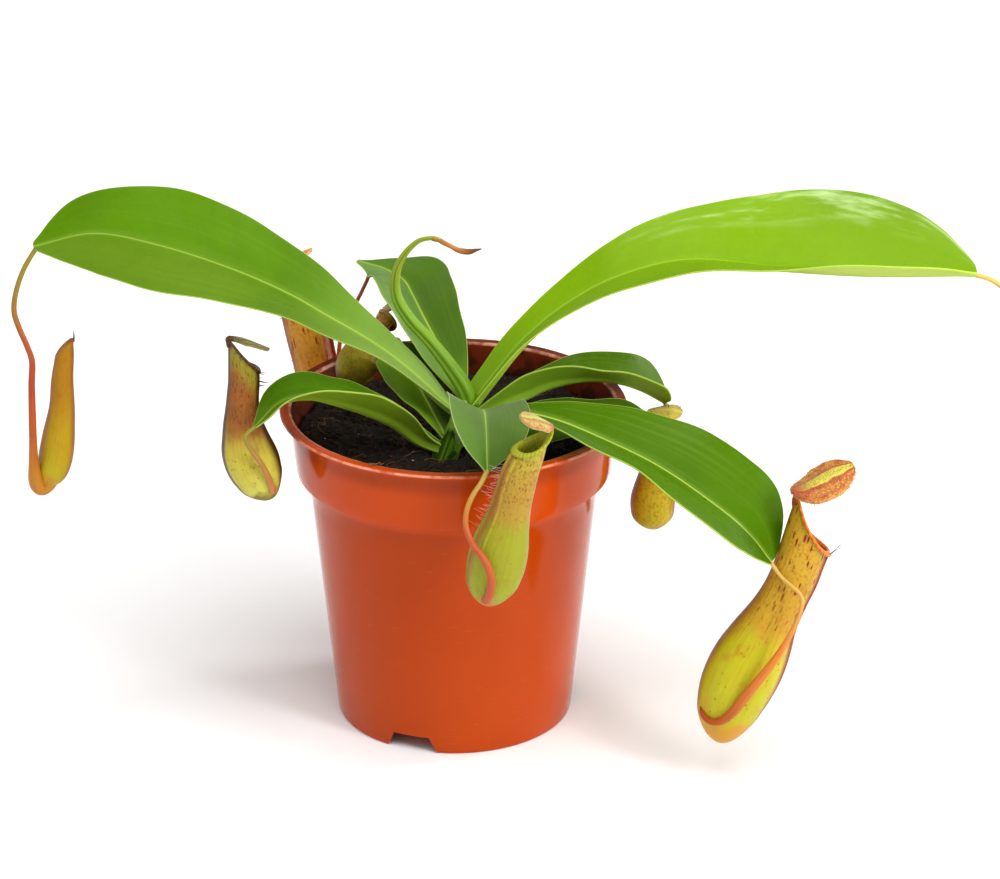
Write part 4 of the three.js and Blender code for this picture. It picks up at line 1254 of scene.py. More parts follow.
@dataclass
class PitcherShape:
    """A pitcher: its outline turned round a bent axis, with two wings and a rolled lip."""

    WING_TURN = 26
    WING_SPREAD = 2.2
    BASE_ROUNDING = 0.16
    INNER_ROWS = 22

    spec: PitcherSpec
    rows: int = 56
    wall: float = 1.0

    def turns(self) -> list[float]:
        """Returns the turns of the columns in degrees, close together at the wings."""
        half = [0, 4, 8, 12, 16, 19, 21.5, 23.5, 24.8, 26, 27.2, 28.5, 30.5, 33, 37]
        half += [37 + 143 * k / 26 for k in range(1, 27)]
        return half + [360 - turn for turn in reversed(half[:-1])]

    def outline(self, length: float) -> list[tuple[float, float, Zone]]:
        """Returns the outline from the base, over the lip and down inside.

        Args:
            length: The axis's length, in millimetres.

        Returns:
            The distance from the axis, the distance along it, and the zone of each row.
        """
        spec, top = self.spec, self.spec.radius[-1]
        rows = []
        for i in range(self.rows + 1):
            u = (i / self.rows) ** 1.5
            reach = station(spec.radius, u) * rounding(u / self.BASE_ROUNDING)
            rows.append((reach, u * length, Zone.OUTSIDE))
        if spec.closed:
            for share, rise in ((0.97, 0.4), (0.85, 0.9), (0.6, 1.25), (0.3, 1.5), (0, 1.6)):
                rows.append((top * share, length + rise, Zone.OUTSIDE))
            return rows
        lip = ((0.35, -0.1), (0.8, 0.05), (1.05, 0.3), (1.12, 0.62), (1.05, 0.95), (0.82, 1.28),
               (0.5, 1.46), (0.15, 1.45), (-0.2, 1.28), (-0.5, 0.98), (-0.8, 0.5), (-0.98, -0.2))
        rows.extend((top + out, length + rise, Zone.LIP) for out, rise in lip)
        for i in range(self.INNER_ROWS, -1, -1):
            u = mix(0.04, 0.95, i / self.INNER_ROWS)
            reach = station(spec.radius, u) * rounding(u / self.BASE_ROUNDING)
            rows.append((max(0.0, reach - self.wall) if i else 0.0, u * length, Zone.INSIDE))
        return rows

    def build(self, name: str) -> bpy.types.Object:
        """Returns the pitcher as one piece."""
        spec, turns = self.spec, self.turns()
        curve = SmoothCurve(spec.axis)
        length = curve.length / MM
        outline = self.outline(length)
        columns, rows = len(turns) - 1, len(outline) - 1
        piece = add_skin(name, columns, rows)
        kept = {key: [] for key in ("height", "turn", "round", "zone", "wing")}

        def place(column: int, row: int) -> Vector:
            """Returns the corner's place, and keeps its zone."""
            reach, distance, zone = outline[row]
            angle = math.radians(turns[column])
            degrees = min(turns[column], 360 - turns[column])
            ridge = math.exp(-(((degrees - self.WING_TURN) / self.WING_SPREAD) ** 2))
            fade = smoothstep(distance / length, 0.1, 0.5)
            outside = zone is Zone.OUTSIDE and reach > 0
            wing = spec.wing * ridge * fade if outside else 0.0
            if zone is Zone.OUTSIDE:
                spot = curve.point(min(1.0, distance / length)) * 90
                turned = Vector((math.cos(angle) * 0.6, math.sin(angle) * 0.6, 0))
                wing += 0.22 * noise.noise(spot + turned) * min(1.0, reach / 4)
            winged = ridge * fade if outside else 0.0
            given = (distance / length, degrees / 180, turns[column] / 360, zone.value, winged)
            for key, value in zip(kept, given):
                kept[key].append(value)
            return pitcher_place(spec, curve, reach, distance, angle, wing)

        shape_corners(piece, columns, rows, place, kept)
        return piece


def lid_blade(spec: PitcherSpec) -> BladeSpec:
    """Returns a lid as a blade that stands on the back of the mouth and leans over it."""
    lid, curve = spec.lid, SmoothCurve(spec.axis)
    length = curve.length / MM
    front = Vector((*spec.front, 0)).normalized()
    out, rise = LID_SEAT
    seat = pitcher_place(spec, curve, spec.radius[-1] + out, length + rise, math.pi) / MM
    lift = math.radians(lid.lift)
    reach = front * math.cos(lift) + UP * math.sin(lift)

    def at(share: float, bow: float) -> Point:
        """Returns a point of the lid's path."""
        return tuple(seat + reach * (share * lid.length) + UP * (bow - lid.drop))

    start = max(0.0, lid.overhang * lid.length * math.sin(lift)) - 0.1
    return BladeSpec(
        path=(at(-lid.overhang, start), at(0.2, 0.6), at(0.55, 1), at(1 - lid.overhang, 0)),
        half_width=lid.half_width,
        tip=lid.ends[1],
        roll=(0, lid.roll),
        fold=(lid.fold, lid.fold),
        rib=(1.2, 1.2),
        heading=spec.front,
        root=lid.ends[0],
    )


# Sub-assemblies


@dataclass
class Foliage:
    """All the leaves, the rolled youngest leaf with its dry tip, and the short stem."""

    SHEATH_SEED = 20

    looks: dict[str, tuple[LeafFinish, str]]

    def build(self) -> None:
        """Builds and dresses every leaf and the stem."""
        for i, (name, spec) in enumerate(LEAVES.items()):
            look, slot = self.looks[name]
            piece = BladeShape(spec, seed=i + 1).build(f"{name}_leaf")
            finish_piece(piece, look.make(), slot, f"leaf_{name}")
        self.build_rolled_leaf()
        stem = TubeShape(STEM, rows=24, sides=20, knobs=0.12).build("short_stem")
        green = StalkFinish("stem_green", (96, 84, 40), (84, 112, 26), (120, 158, 30),
                            fleck=(70, 88, 24))
        finish_piece(stem, green.make(), "stem", "stem")
        self.build_sheaths()

    def build_sheaths(self) -> None:
        """Builds the leaf bases that clasp the stem one over the other."""
        curve = SmoothCurve(STEM.path)
        for k, (turn, low, high, shade) in enumerate((
            (200, -0.1, 0.5, (34, 60, 6)), (300, -0.1, 0.5, (30, 54, 6)),
            (248, -0.1, 0.72, (44, 74, 10)), (325, 0.2, 0.95, (62, 98, 12)),
        )):
            angle = math.radians(turn)
            out = Vector((math.cos(angle), math.sin(angle), 0))
            path = []
            for share, gap in ((0, 2.9), (0.3, 3.1), (0.6, 3.3), (0.85, 3.9), (1, 5.4)):
                reach = mix(low, high, share)
                point = curve.point(max(0.0, reach)) / MM + UP * (min(0.0, reach) * 40)
                path.append(tuple(point + out * gap))
            spec = BladeSpec(path=tuple(path), half_width=(4.2, 4.4, 4.0, 3.0, 1.2), tip=0.2,
                             roll=(0, 0), fold=(16, 16, 14, 8), rib=(1.6, 1), heading=tuple(out)[:2])
            shape = BladeShape(spec, rows=40, columns=40, seed=self.SHEATH_SEED + k)
            piece = shape.build(f"leaf_base_{k}")
            look = LeafFinish(f"leaf_base_green_{k}", shade, shade, (28, 48, 4), shade, base=shade,
                              rib=(80, 112, 30), rim=shade)
            finish_piece(piece, look.make(), "stem")

    def build_rolled_leaf(self) -> None:
        """Builds the young rolled leaf, whose free edge winds round it, and its dry tip."""
        roll = TubeShape(ROLLED_LEAF, rows=110, sides=48, groove=0.2, groove_turn=-2.5,
                         groove_twist=-0.3).build("young_rolled_leaf")
        green = StalkFinish("rolled_green", (96, 136, 14), (112, 150, 22), (150, 158, 40),
                            fleck=(78, 116, 12))
        finish_piece(roll, green.make(), "leaf_rolled", "leaf_rolled")
        tip = TubeShape(DRY_TIP, rows=40, sides=12, knobs=0.25).build("dry_leaf_tip")
        brown = StalkFinish("dry_brown", (150, 110, 40), (176, 112, 52), (92, 52, 28), rough=0.75,
                            fleck=(96, 56, 26))
        finish_piece(tip, brown.make(), "dry_tip", "dry_tip")


@dataclass
class Traps:
    """The pitchers with their lids, and the tendrils that carry them."""

    HAIR_SEED = 40
    FUZZ_SEED = 7

    skins: dict[str, PitcherFinish]
    lids: dict[str, LidFinish]
    stalks: dict[str, StalkFinish]
    slots: dict[str, str]
    hair_rows: dict[str, tuple[HairRow, ...]]
    lid_fuzz: dict[str, tuple[int, float, float, HairFinish]]

    def build(self) -> None:
        """Builds and dresses every tendril, pitcher and lid."""
        for name in PITCHERS:
            self.build_tendril(name)
            self.build_pitcher(name)
            for k, row in enumerate(self.hair_rows.get(name, ())):
                bristles = Bristles()
                row.grow(PITCHERS[name], bristles, self.HAIR_SEED + k)
                finish_piece(bristles.build(f"{name}_hairs_{k}"), row.look.make(),
                             self.slots[name])

    def build_tendril(self, name: str) -> None:
        """Builds one tendril, from its leaf's tip to its pitcher's base."""
        spec = TENDRILS[name]
        path = spec.path
        if not spec.under:
            leaf = SmoothCurve(LEAVES[name].path)
            tip = (leaf.point(1) - leaf.tangent(1) * 1.2 * MM) / MM
            tip.z -= station(LEAVES[name].rib, 1) / 2
            path = (tuple(tip), *path)
        rows = 30 + 10 * len(path)
        piece = TubeShape(TubeSpec(path, spec.radius), rows=rows).build(f"{name}_tendril")
        finish_piece(piece, self.stalks[name].make(), "tendril", f"tendril_{name}")

    def build_pitcher(self, name: str) -> None:
        """Builds one pitcher, and its lid and their hinge if it is open."""
        spec = PITCHERS[name]
        piece = PitcherShape(spec).build(f"{name}_pitcher")
        finish_piece(piece, self.skins[name].make(), self.slots[name], f"pitcher_{name}")
        if spec.lid is None:
            return
        shape = BladeShape(lid_blade(spec), margin=spec.lid.thick, rows=40, columns=48, wave=0.25,
                           groove=-0.1, rib_width=0.8, keels=0.3 * spec.lid.thick)
        lid = shape.build(f"{name}_lid")
        finish_piece(lid, self.lids[name].make(), "lid", f"lid_{name}")
        self.build_hinge(name, spec)
        if name in self.lid_fuzz:
            self.build_fuzz(name, lid)

    def build_fuzz(self, name: str, lid: bpy.types.Object) -> None:
        """Builds the short hairs that stand on a lid."""
        count, length, thickness, look = self.lid_fuzz[name]
        draw, bristles = random.Random(self.FUZZ_SEED), Bristles()
        faces = list(lid.data.polygons)
        for face in draw.choices(faces, [face.area for face in faces], k=count):
            aim = face.normal + Vector([draw.uniform(-0.5, 0.5) for _ in range(3)])
            aim.normalize()
            size = length * draw.uniform(0.6, 1.2) * MM
            path = [face.center + aim * (size * t - 0.15 * MM) - UP * size * 0.2 * t * t
                    for t in (0, 0.5, 1)]
            bristles.add(path, thickness * MM)
        finish_piece(bristles.build(f"{name}_lid_hairs"), look.make(), "lid")

    def build_hinge(self, name: str, spec: PitcherSpec) -> None:
        """Builds the short neck that joins the lid to the back of the mouth."""
        curve, blade = SmoothCurve(spec.axis), Blade(lid_blade(spec))
        length = curve.length / MM
        back = [pitcher_place(spec, curve, spec.radius[-1] + out, length + rise, math.pi)
                for out, rise in ((0.1, -1.6), (0.3, 0.2), (0.3, 1.6))]
        under = blade.curve.point(0.1) - blade.directions(0.1)[2] * 0.7 * MM
        path = tuple(tuple(point / MM) for point in (*back, under))
        width = min(1.2, spec.radius[-1] * 0.18)
        hinge = TubeShape(TubeSpec(path, (width, width * 1.1, width)), rows=20, sides=14)
        piece = hinge.build(f"{name}_lid_neck")
        warm = self.lids[name].vein
        finish_piece(piece, StalkFinish(f"{name}_neck", warm, warm, self.lids[name].rim).make(),
                     "tendril")


@dataclass
class Earth:
    """The peat in the pot: a rough crumbly surface with fibres, chips and specks."""

    top: float = 104
    edge: float = 53.7
    strewn: float = 0.97
    seed: int = 7
    fibres: int = 230
    tuft: Point = (-25.8, -50.6, 114.0)
    tuft_hairs: int = 16

    def height(self, x: float, y: float, depth: float = 1.0) -> float:
        """Returns the surface's height, in millimetres, at a place in millimetres."""
        ripple = math.sin(x / 7 + 0.8) * math.cos(y / 6 - 0.4)
        ripple += 0.6 * math.sin(x / 3.1 - y / 3.7)
        spot = Vector((x, y, 0))
        rough = 1.0 * noise.noise(spot / 4.2) + 0.7 * noise.noise(spot / 1.7 + Vector((9, 0, 0)))
        rough += 0.35 * noise.noise(spot / 0.7 + Vector((0, 9, 0)))
        return self.top + 0.8 * ripple + depth * rough

    def build(self) -> None:
        """Builds the ground and what lies on it."""
        self.build_ground()
        self.build_chips()
        self.build_fibres()

    def build_ground(self) -> None:
        """Builds the ground as one closed body, from its floor up its side and over the top."""
        wall = [(0, 8.7), (20, 8.7), (40.3, 8.7), (44, 50), (48.2, 89.8), (48.3, 91.4),
                (52.6, 93.6), (self.edge, 101.5)]
        rings, columns = 88, 260
        rows = len(wall) - 1 + rings
        piece = add_skin("peat_ground", columns, rows)

        def place(column: int, row: int) -> Vector:
            """Returns the corner's place."""
            turn = 2 * math.pi * (column % columns) / columns
            if row < len(wall):
                radius, z = wall[row]
                return Vector((radius * math.cos(turn), radius * math.sin(turn), z)) * MM
            radius = self.edge * (1 - (row - len(wall) + 1) / rings) ** 0.8
            x, y = radius * math.cos(turn), radius * math.sin(turn)
            return Vector((x, y, self.height(x, y, min(1.0, radius)))) * MM

        shape_corners(piece, columns, rows, place, {})
        peat = EarthFinish("dark_peat", (18, 12, 7), (56, 38, 24))
        finish_piece(piece, peat.make(), "soil", "soil")

    def build_chips(self) -> None:
        """Scatters crumbs of peat and bark, and a few pale specks."""
        draw = random.Random(self.seed)
        for name, count, low, high, look in (
            ("peat_crumbs", 620, 0.5, 1.7, EarthFinish("peat_crumb", (20, 12, 7), (66, 44, 28))),
            ("bark_bits", 130, 0.8, 2.4, EarthFinish("bark", (52, 32, 20), (98, 64, 40), 0.8)),
            ("pale_specks", 26, 0.4, 1.0, EarthFinish("perlite", (196, 186, 168), (232, 226, 214))),
        ):
            corners, faces = [], []
            for _ in range(count):
                self.add_chip(draw, low, high, corners, faces)
            piece = loose_mesh(name, corners, faces)
            finish_piece(piece, look.make(), "soil")

    def add_chip(self, draw: random.Random, low: float, high: float, corners: list[Vector],
                 faces: list[tuple[int, ...]]) -> None:
        """Adds one crumb with eight uneven corners, half sunk in the ground."""
        radius = self.edge * self.strewn * math.sqrt(draw.random())
        turn = draw.uniform(0, 2 * math.pi)
        x, y = radius * math.cos(turn), radius * math.sin(turn)
        size = mix(low, high, draw.random() ** 2)
        spin = Matrix.Rotation(draw.uniform(0, 6.28), 3, "Z") @ Matrix.Rotation(
            draw.uniform(-0.5, 0.5), 3, "X")
        stretch = Vector((draw.uniform(0.7, 1.5), draw.uniform(0.5, 1), draw.uniform(0.35, 0.7)))
        centre = Vector((x, y, self.height(x, y) + size * 0.1))
        first = len(corners)
        for sx, sy, sz in CUBE_CORNERS:
            shift = Vector((sx, sy, sz)) * draw.uniform(0.65, 1.15)
            shift = Vector((shift.x * stretch.x, shift.y * stretch.y, shift.z * stretch.z))
            corners.append((centre + spin @ shift * size * 0.55) * MM)
        faces.extend(tuple(first + i for i in face) for face in CUBE_FACES)

    def build_fibres(self) -> None:
        """Lays thin curled root fibres over the ground, and a few over the pot's rim."""
        draw = random.Random(self.seed + 1)
        dark, pale = Bristles(), Bristles()
        for i in range(self.fibres):
            radius = self.edge * self.strewn * math.sqrt(draw.random())
            turn, heading = draw.uniform(0, 6.28), draw.uniform(0, 6.28)
            x, y = radius * math.cos(turn), radius * math.sin(turn)
            bend, step = draw.uniform(-0.5, 0.5), draw.uniform(0.5, 1.5)
            rise = draw.uniform(0, 0.5)
            path = []
            for k in range(8):
                if math.hypot(x, y) > self.edge:
                    break
                hump = rise * math.sin(math.pi * k / 7)
                path.append(Vector((x, y, self.height(x, y) + 0.25 + hump * 2)) * MM)
                heading += bend + draw.uniform(-0.3, 0.3)
                x += step * math.cos(heading)
                y += step * math.sin(heading)
            if len(path) > 3:
                (pale if i % 3 == 0 else dark).add(path, draw.uniform(0.07, 0.16) * MM, 0.5)
        for _ in range(self.tuft_hairs):
            aim = Vector((draw.uniform(-1, 1), draw.uniform(-0.7, 0.7), draw.uniform(0.1, 0.7)))
            bend = Vector([draw.uniform(-1.2, 1.2) for _ in range(2)] + [-0.6])
            root = Vector(self.tuft) + Vector((draw.uniform(-2.2, 2.2), draw.uniform(-0.5, 0.5), 0))
            size = draw.uniform(1.2, 2.8)
            path = [(root + aim * size * t + bend * t * t) * MM for t in (0, 0.25, 0.5, 0.75, 1)]
            pale.add(path, draw.uniform(0.14, 0.22) * MM, 0.6)
        finish_piece(dark.build("dark_fibres"),
                     HairFinish("dark_fibre", (58, 36, 22), (84, 54, 32)).make(), "soil")
        finish_piece(pale.build("pale_fibres"),
                     HairFinish("pale_fibre", (112, 72, 44), (148, 100, 62)).make(), "soil")


CUBE_CORNERS = ((-1, -1, -1), (1, -1, -1), (1, 1, -1), (-1, 1, -1),
                (-1, -1, 1), (1, -1, 1), (1, 1, 1), (-1, 1, 1))
CUBE_FACES = ((0, 3, 2, 1), (4, 5, 6, 7), (0, 1, 5, 4), (1, 2, 6, 5), (2, 3, 7, 6), (3, 0, 4, 7))


@dataclass
class NurseryPot:
    """The plastic pot: a tapered body, a wide band under a flat lip, and a notched foot."""

    height: float = 114
    lip_radius: float = 60
    lip_thickness: float = 1.5
    lip_inner: float = 55.9
    band_top: float = 56.3
    band_bottom: float = 54.4
    band_z: float = 91
    body_top: float = 50.1
    base_radius: float = 41
    foot_rounding: float = 0.9
    wall: float = 1.3
    floor_z: float = 7
    floor_thickness: float = 1.4
    pad_radius: float = 12
    steps: int = 180
    notches: int = 3
    first_notch: float = -111
    notch_z: float = 2.4
    notch_size: Point = (14, 19.5, 7.2)
    notch_top: float = 13

    def outline(self) -> list[tuple[float, float]]:
        """Returns the closed outline as radius and height, in millimetres."""
        slope = (self.body_top - self.base_radius) / (self.band_z - 1.2)
        under = self.height - self.lip_thickness

        def inner(z: float) -> float:
            """Returns the inner radius of the body."""
            return self.base_radius + slope * z - self.wall

        pad, floor, base, body = self.pad_radius, self.floor_z, self.base_radius, self.body_top
        low, high, rim = self.band_bottom, self.band_top, self.lip_inner
        z, top, foot, lip = self.band_z, self.height, self.foot_rounding, self.lip_thickness / 2
        outline = [(0, 0), (pad - 0.4, 0), (pad, 0.3), (pad + 1.5, floor), (inner(floor), floor),
                   (inner(0.4), 0.4), (inner(0) + 0.3, 0), (base - foot, 0)]
        outline += [(base - foot + foot * math.sin(a), foot - foot * math.cos(a))
                    for a in (0.4, 0.8, 1.2, 1.57)]
        outline += [(mix(base, body, k / 12), mix(foot, z - 2, k / 12)) for k in range(1, 13)]
        outline += [(body + 0.3, z - 1.45), (body + 1.0, z - 1.1), (low - 0.9, z - 0.3),
                    (low - 0.25, z + 0.1), (low, z + 0.8)]
        outline += [(mix(low, high, k / 6), mix(z + 0.8, under - 1.6, k / 6)) for k in range(1, 7)]
        outline += [(high + 0.25, under - 0.7), (high + 0.9, under - 0.1), (high + 1.7, under)]
        outline += [(self.lip_radius - lip + lip * math.sin(a), under + lip - lip * math.cos(a))
                    for a in (0, 0.5, 1.05, 1.57, 2.1, 2.6, 3.14)]
        outline += [(rim + 1.2, top - 0.05), (rim + 0.5, top - 0.2), (rim + 0.05, top - 0.7),
                    (rim - 0.2, top - 1.8), (low - self.wall + 0.4, z + 1.4),
                    (body - self.wall, z - 0.6), (inner(floor + 2.4), floor + 2.4),
                    (inner(floor + 1.4) - 1, floor + 1.4), (0, floor + self.floor_thickness)]
        return outline

    def build(self) -> None:
        """Spins the outline, cuts the three notches and smooths the shading by angle."""
        clear_selection()
        bpy.ops.mesh.primitive_plane_add(size=0.001)
        pot = bpy.context.object
        pot.name = pot.data.name = "nursery_pot"
        bpy.ops.object.mode_set(mode="EDIT")
        bpy.ops.mesh.select_all(action="SELECT")
        bpy.ops.mesh.merge(type="CENTER")
        here = (0.0, 0.0)
        for there in self.outline()[1:]:
            shift = ((there[0] - here[0]) * MM, 0, (there[1] - here[1]) * MM)
            bpy.ops.mesh.extrude_region_move(TRANSFORM_OT_translate={"value": shift})
            here = there
        bpy.ops.mesh.select_all(action="SELECT")
        bpy.ops.mesh.spin(steps=self.steps, angle=2 * math.pi, center=(0, 0, 0), axis=(0, 0, 1))
        bpy.ops.mesh.select_all(action="SELECT")
        bpy.ops.mesh.remove_doubles(threshold=1e-6)
        bpy.ops.mesh.normals_make_consistent(inside=False)
        bpy.ops.object.mode_set(mode="OBJECT")
        for k in range(self.notches):
            self.cut_notch(pot, math.radians(self.first_notch + 360 // self.notches * k))
        make_active(pot)
        bpy.ops.object.shade_smooth_by_angle(angle=math.radians(38))
        finish_piece(pot, PotFinish().make(), "pot", "pot")

    def cut_notch(self, pot: bpy.types.Object, turn: float) -> None:
        """Cuts one notch, narrower at its top, out of the foot at that turn."""
        clear_selection()
        foot = (self.base_radius * MM, 0, self.notch_z * MM)
        bpy.ops.mesh.primitive_cube_add(size=1, location=foot,
                                        scale=[side * MM for side in self.notch_size])
        cutter = bpy.context.object
        bpy.ops.object.transform_apply(location=True, rotation=True, scale=True)
        for corner in cutter.data.vertices:
            if corner.co.z > 0:
                corner.co.y *= self.notch_top / self.notch_size[1]
        bpy.ops.transform.rotate(value=-turn, orient_axis="Z", center_override=(0, 0, 0))
        bpy.ops.object.transform_apply(location=True, rotation=True, scale=True)
        place = Vector((math.cos(turn), math.sin(turn), 0)) * self.base_radius * MM
        middle = sum((corner.co for corner in cutter.data.vertices), Vector()) / 8
        if (Vector((middle.x, middle.y, 0)) - place).length > 5 * MM:
            cutter.data.transform(Matrix.Rotation(2 * turn, 4, "Z"))
        make_active(pot)
        notch = pot.modifiers.new("notch", "BOOLEAN")
        notch.object, notch.operation, notch.solver = cutter, "DIFFERENCE", "EXACT"
        bpy.ops.object.modifier_apply(modifier=notch.name)
        bpy.data.objects.remove(cutter)


# The studio


@dataclass
class Studio:
    """A pale floor, soft lights and the camera."""

    camera_place: Point = (16, -1500, 765)
    pitch: float = 23.88
    lens: float = 171.0
    sensor: float = 36
    aim: Point = (0.02, 0, 0.1)
    air: float = 0.4
    floor_size: float = 60

    def build(self) -> None:
        """Builds everything that isn't part of the plant."""
        clear_selection()
        bpy.ops.mesh.primitive_plane_add(size=self.floor_size)
        floor = bpy.context.object
        floor.name = "floor"
        r = Recipe("pale_floor")
        r.set(Base_Color=(0.9, 0.9, 0.9, 1), Roughness=0.8, Specular_IOR_Level=0.1)
        floor.data.materials.append(r.material)
        self.add_light("key", (-0.9, -1.1, 1.3), (1.0, 1.0), 2.5)
        self.add_light("fill", (1.0, -0.9, 0.8), (0.3, 0.7), 12)
        self.add_light("left_strip", (-0.95, 0.15, 0.5), (0.2, 1.1), 1.5)
        self.add_light("right_strip", (0.92, 0.3, 0.45), (0.25, 1.1), 6)
        self.add_sky((0.1, -0.35, 1.0), 2.0)
        world = bpy.data.worlds.new("studio_air")
        world.use_nodes = True
        air = world.node_tree.nodes["Background"].inputs
        air["Color"].default_value, air["Strength"].default_value = (1, 1, 1, 1), self.air
        bpy.context.scene.world = world
        self.add_camera()
        bpy.context.scene.view_settings.view_transform = "Standard"

    def add_sky(self, place: Point, strength: float) -> None:
        """Adds an even, very soft light from above, the same over the whole floor."""
        lamp = bpy.data.lights.new("sky", "SUN")
        lamp.energy, lamp.angle = strength, math.radians(50)
        stand = bpy.data.objects.new("sky", lamp)
        stand.location = place
        stand.rotation_euler = (-Vector(place)).to_track_quat("-Z", "Y").to_euler()
        bpy.context.scene.collection.objects.link(stand)

    def add_light(self, name: str, place: Point, size: tuple[float, float], power: float) -> None:
        """Adds one soft rectangular light, turned to the middle of the plant."""
        lamp = bpy.data.lights.new(name, "AREA")
        lamp.shape, lamp.size, lamp.size_y, lamp.energy = "RECTANGLE", *size, power
        stand = bpy.data.objects.new(name, lamp)
        stand.location = place
        aim = Vector(self.aim) - Vector(place)
        stand.rotation_euler = aim.to_track_quat("-Z", "Y").to_euler()
        bpy.context.scene.collection.objects.link(stand)

    def add_camera(self) -> None:
        """Adds the camera at the photograph's place and angle."""
        view = bpy.data.cameras.new("camera")
        view.lens, view.sensor_width, view.sensor_fit = self.lens, self.sensor, "HORIZONTAL"
        view.clip_end = 20
        camera = bpy.data.objects.new("camera", view)
        camera.location = Vector(self.camera_place) * MM
        camera.rotation_euler = (math.radians(90 - self.pitch), 0, 0)
        bpy.context.scene.collection.objects.link(camera)
        bpy.context.scene.camera = camera


# Colours and hairs


LEAF_LOOKS = {
    # Its pale greyish base colour, reaching half the blade, is partly the leaf's own paler base and
    # partly a painted sheen along the midrib.
    "far_left": (LeafFinish("long_left_green", (90, 124, 18), (80, 123, 0), (66, 104, 0),
                            (150, 182, 60), rib=(148, 178, 66), base=(132, 160, 78), base_reach=0.5),
                 "leaf_bright"),
    # Its painted highlight spots stand for the gloss that the light leaves on the upper face.
    "right_high": (LeafFinish("long_right_green", (115, 154, 3), (116, 154, 18), (98, 138, 2),
                              (176, 200, 80), rib=(146, 184, 44), rim=(166, 196, 70), painted_highlight=0.62,
                              gloss=0.26),
                   "leaf_bright"),
    # Its paler, greyer left half paints the light and sheen that this half catches.
    "back": (LeafFinish("back_leaf_green", (104, 136, 66), (76, 112, 22), (66, 100, 18),
                        (120, 152, 70), gloss=0.36), "leaf_dark"),
    "right_small": (LeafFinish("right_leaf_green", (68, 100, 8), (112, 148, 36), (54, 86, 4),
                               (104, 138, 26)), "leaf_bright"),
    "right_front": (LeafFinish("front_right_green", (70, 108, 2), (73, 110, 8), (60, 98, 0),
                               (140, 172, 50), rib=(184, 212, 90)), "leaf_bright"),
    "right_low": (LeafFinish("low_leaf_green", (54, 80, 4), (66, 96, 16), (44, 68, 2),
                             (100, 132, 30)), "leaf_dark"),
    "front": (LeafFinish("front_leaf_grey", (72, 106, 26), (76, 112, 30), (58, 90, 18),
                         (126, 152, 76), gloss=0.38, rib=(150, 180, 90), rim=(186, 200, 140),
                         base=(138, 146, 108), base_reach=1.0), "leaf_grey"),
    "left_small": (LeafFinish("left_leaf_green", (86, 122, 12), (70, 108, 10), (54, 92, 4),
                              (116, 146, 28), base=(70, 104, 14)), "leaf_bright"),
    # Its bright left half and dark right half paint the light on one half and the shade on the other.
    "back_left": (LeafFinish("shaded_leaf_green", (104, 140, 22), (40, 62, 6), (50, 76, 8),
                             (60, 86, 16), gloss=0.4, base=(64, 94, 14)), "leaf_dark"),
}

STALK_LOOKS = {
    "far_left": StalkFinish(
        "left_tendril", (140, 124, 40), (170, 62, 30), (184, 122, 28)),
    "right_high": StalkFinish(
        "right_tendril", (206, 176, 80), (184, 84, 44), (204, 108, 34)),
    "back": StalkFinish(
        "back_tendril", (156, 90, 56), (150, 80, 44), (150, 80, 44)),
    "right_small": StalkFinish(
        "small_tendril", (150, 150, 50), (150, 120, 50), (150, 110, 50)),
    "right_front": StalkFinish(
        "front_right_tendril", (204, 168, 84), (206, 118, 42), (164, 64, 16)),
    "front": StalkFinish(
        "front_tendril", (176, 146, 64), (184, 82, 40), (178, 80, 34)),
    "left_small": StalkFinish(
        "left_small_tendril", (130, 134, 40), (168, 120, 60), (198, 126, 70)),
    "back_left": StalkFinish(
        "back_left_tendril", (130, 110, 40), (120, 90, 40), (120, 90, 40)),
}


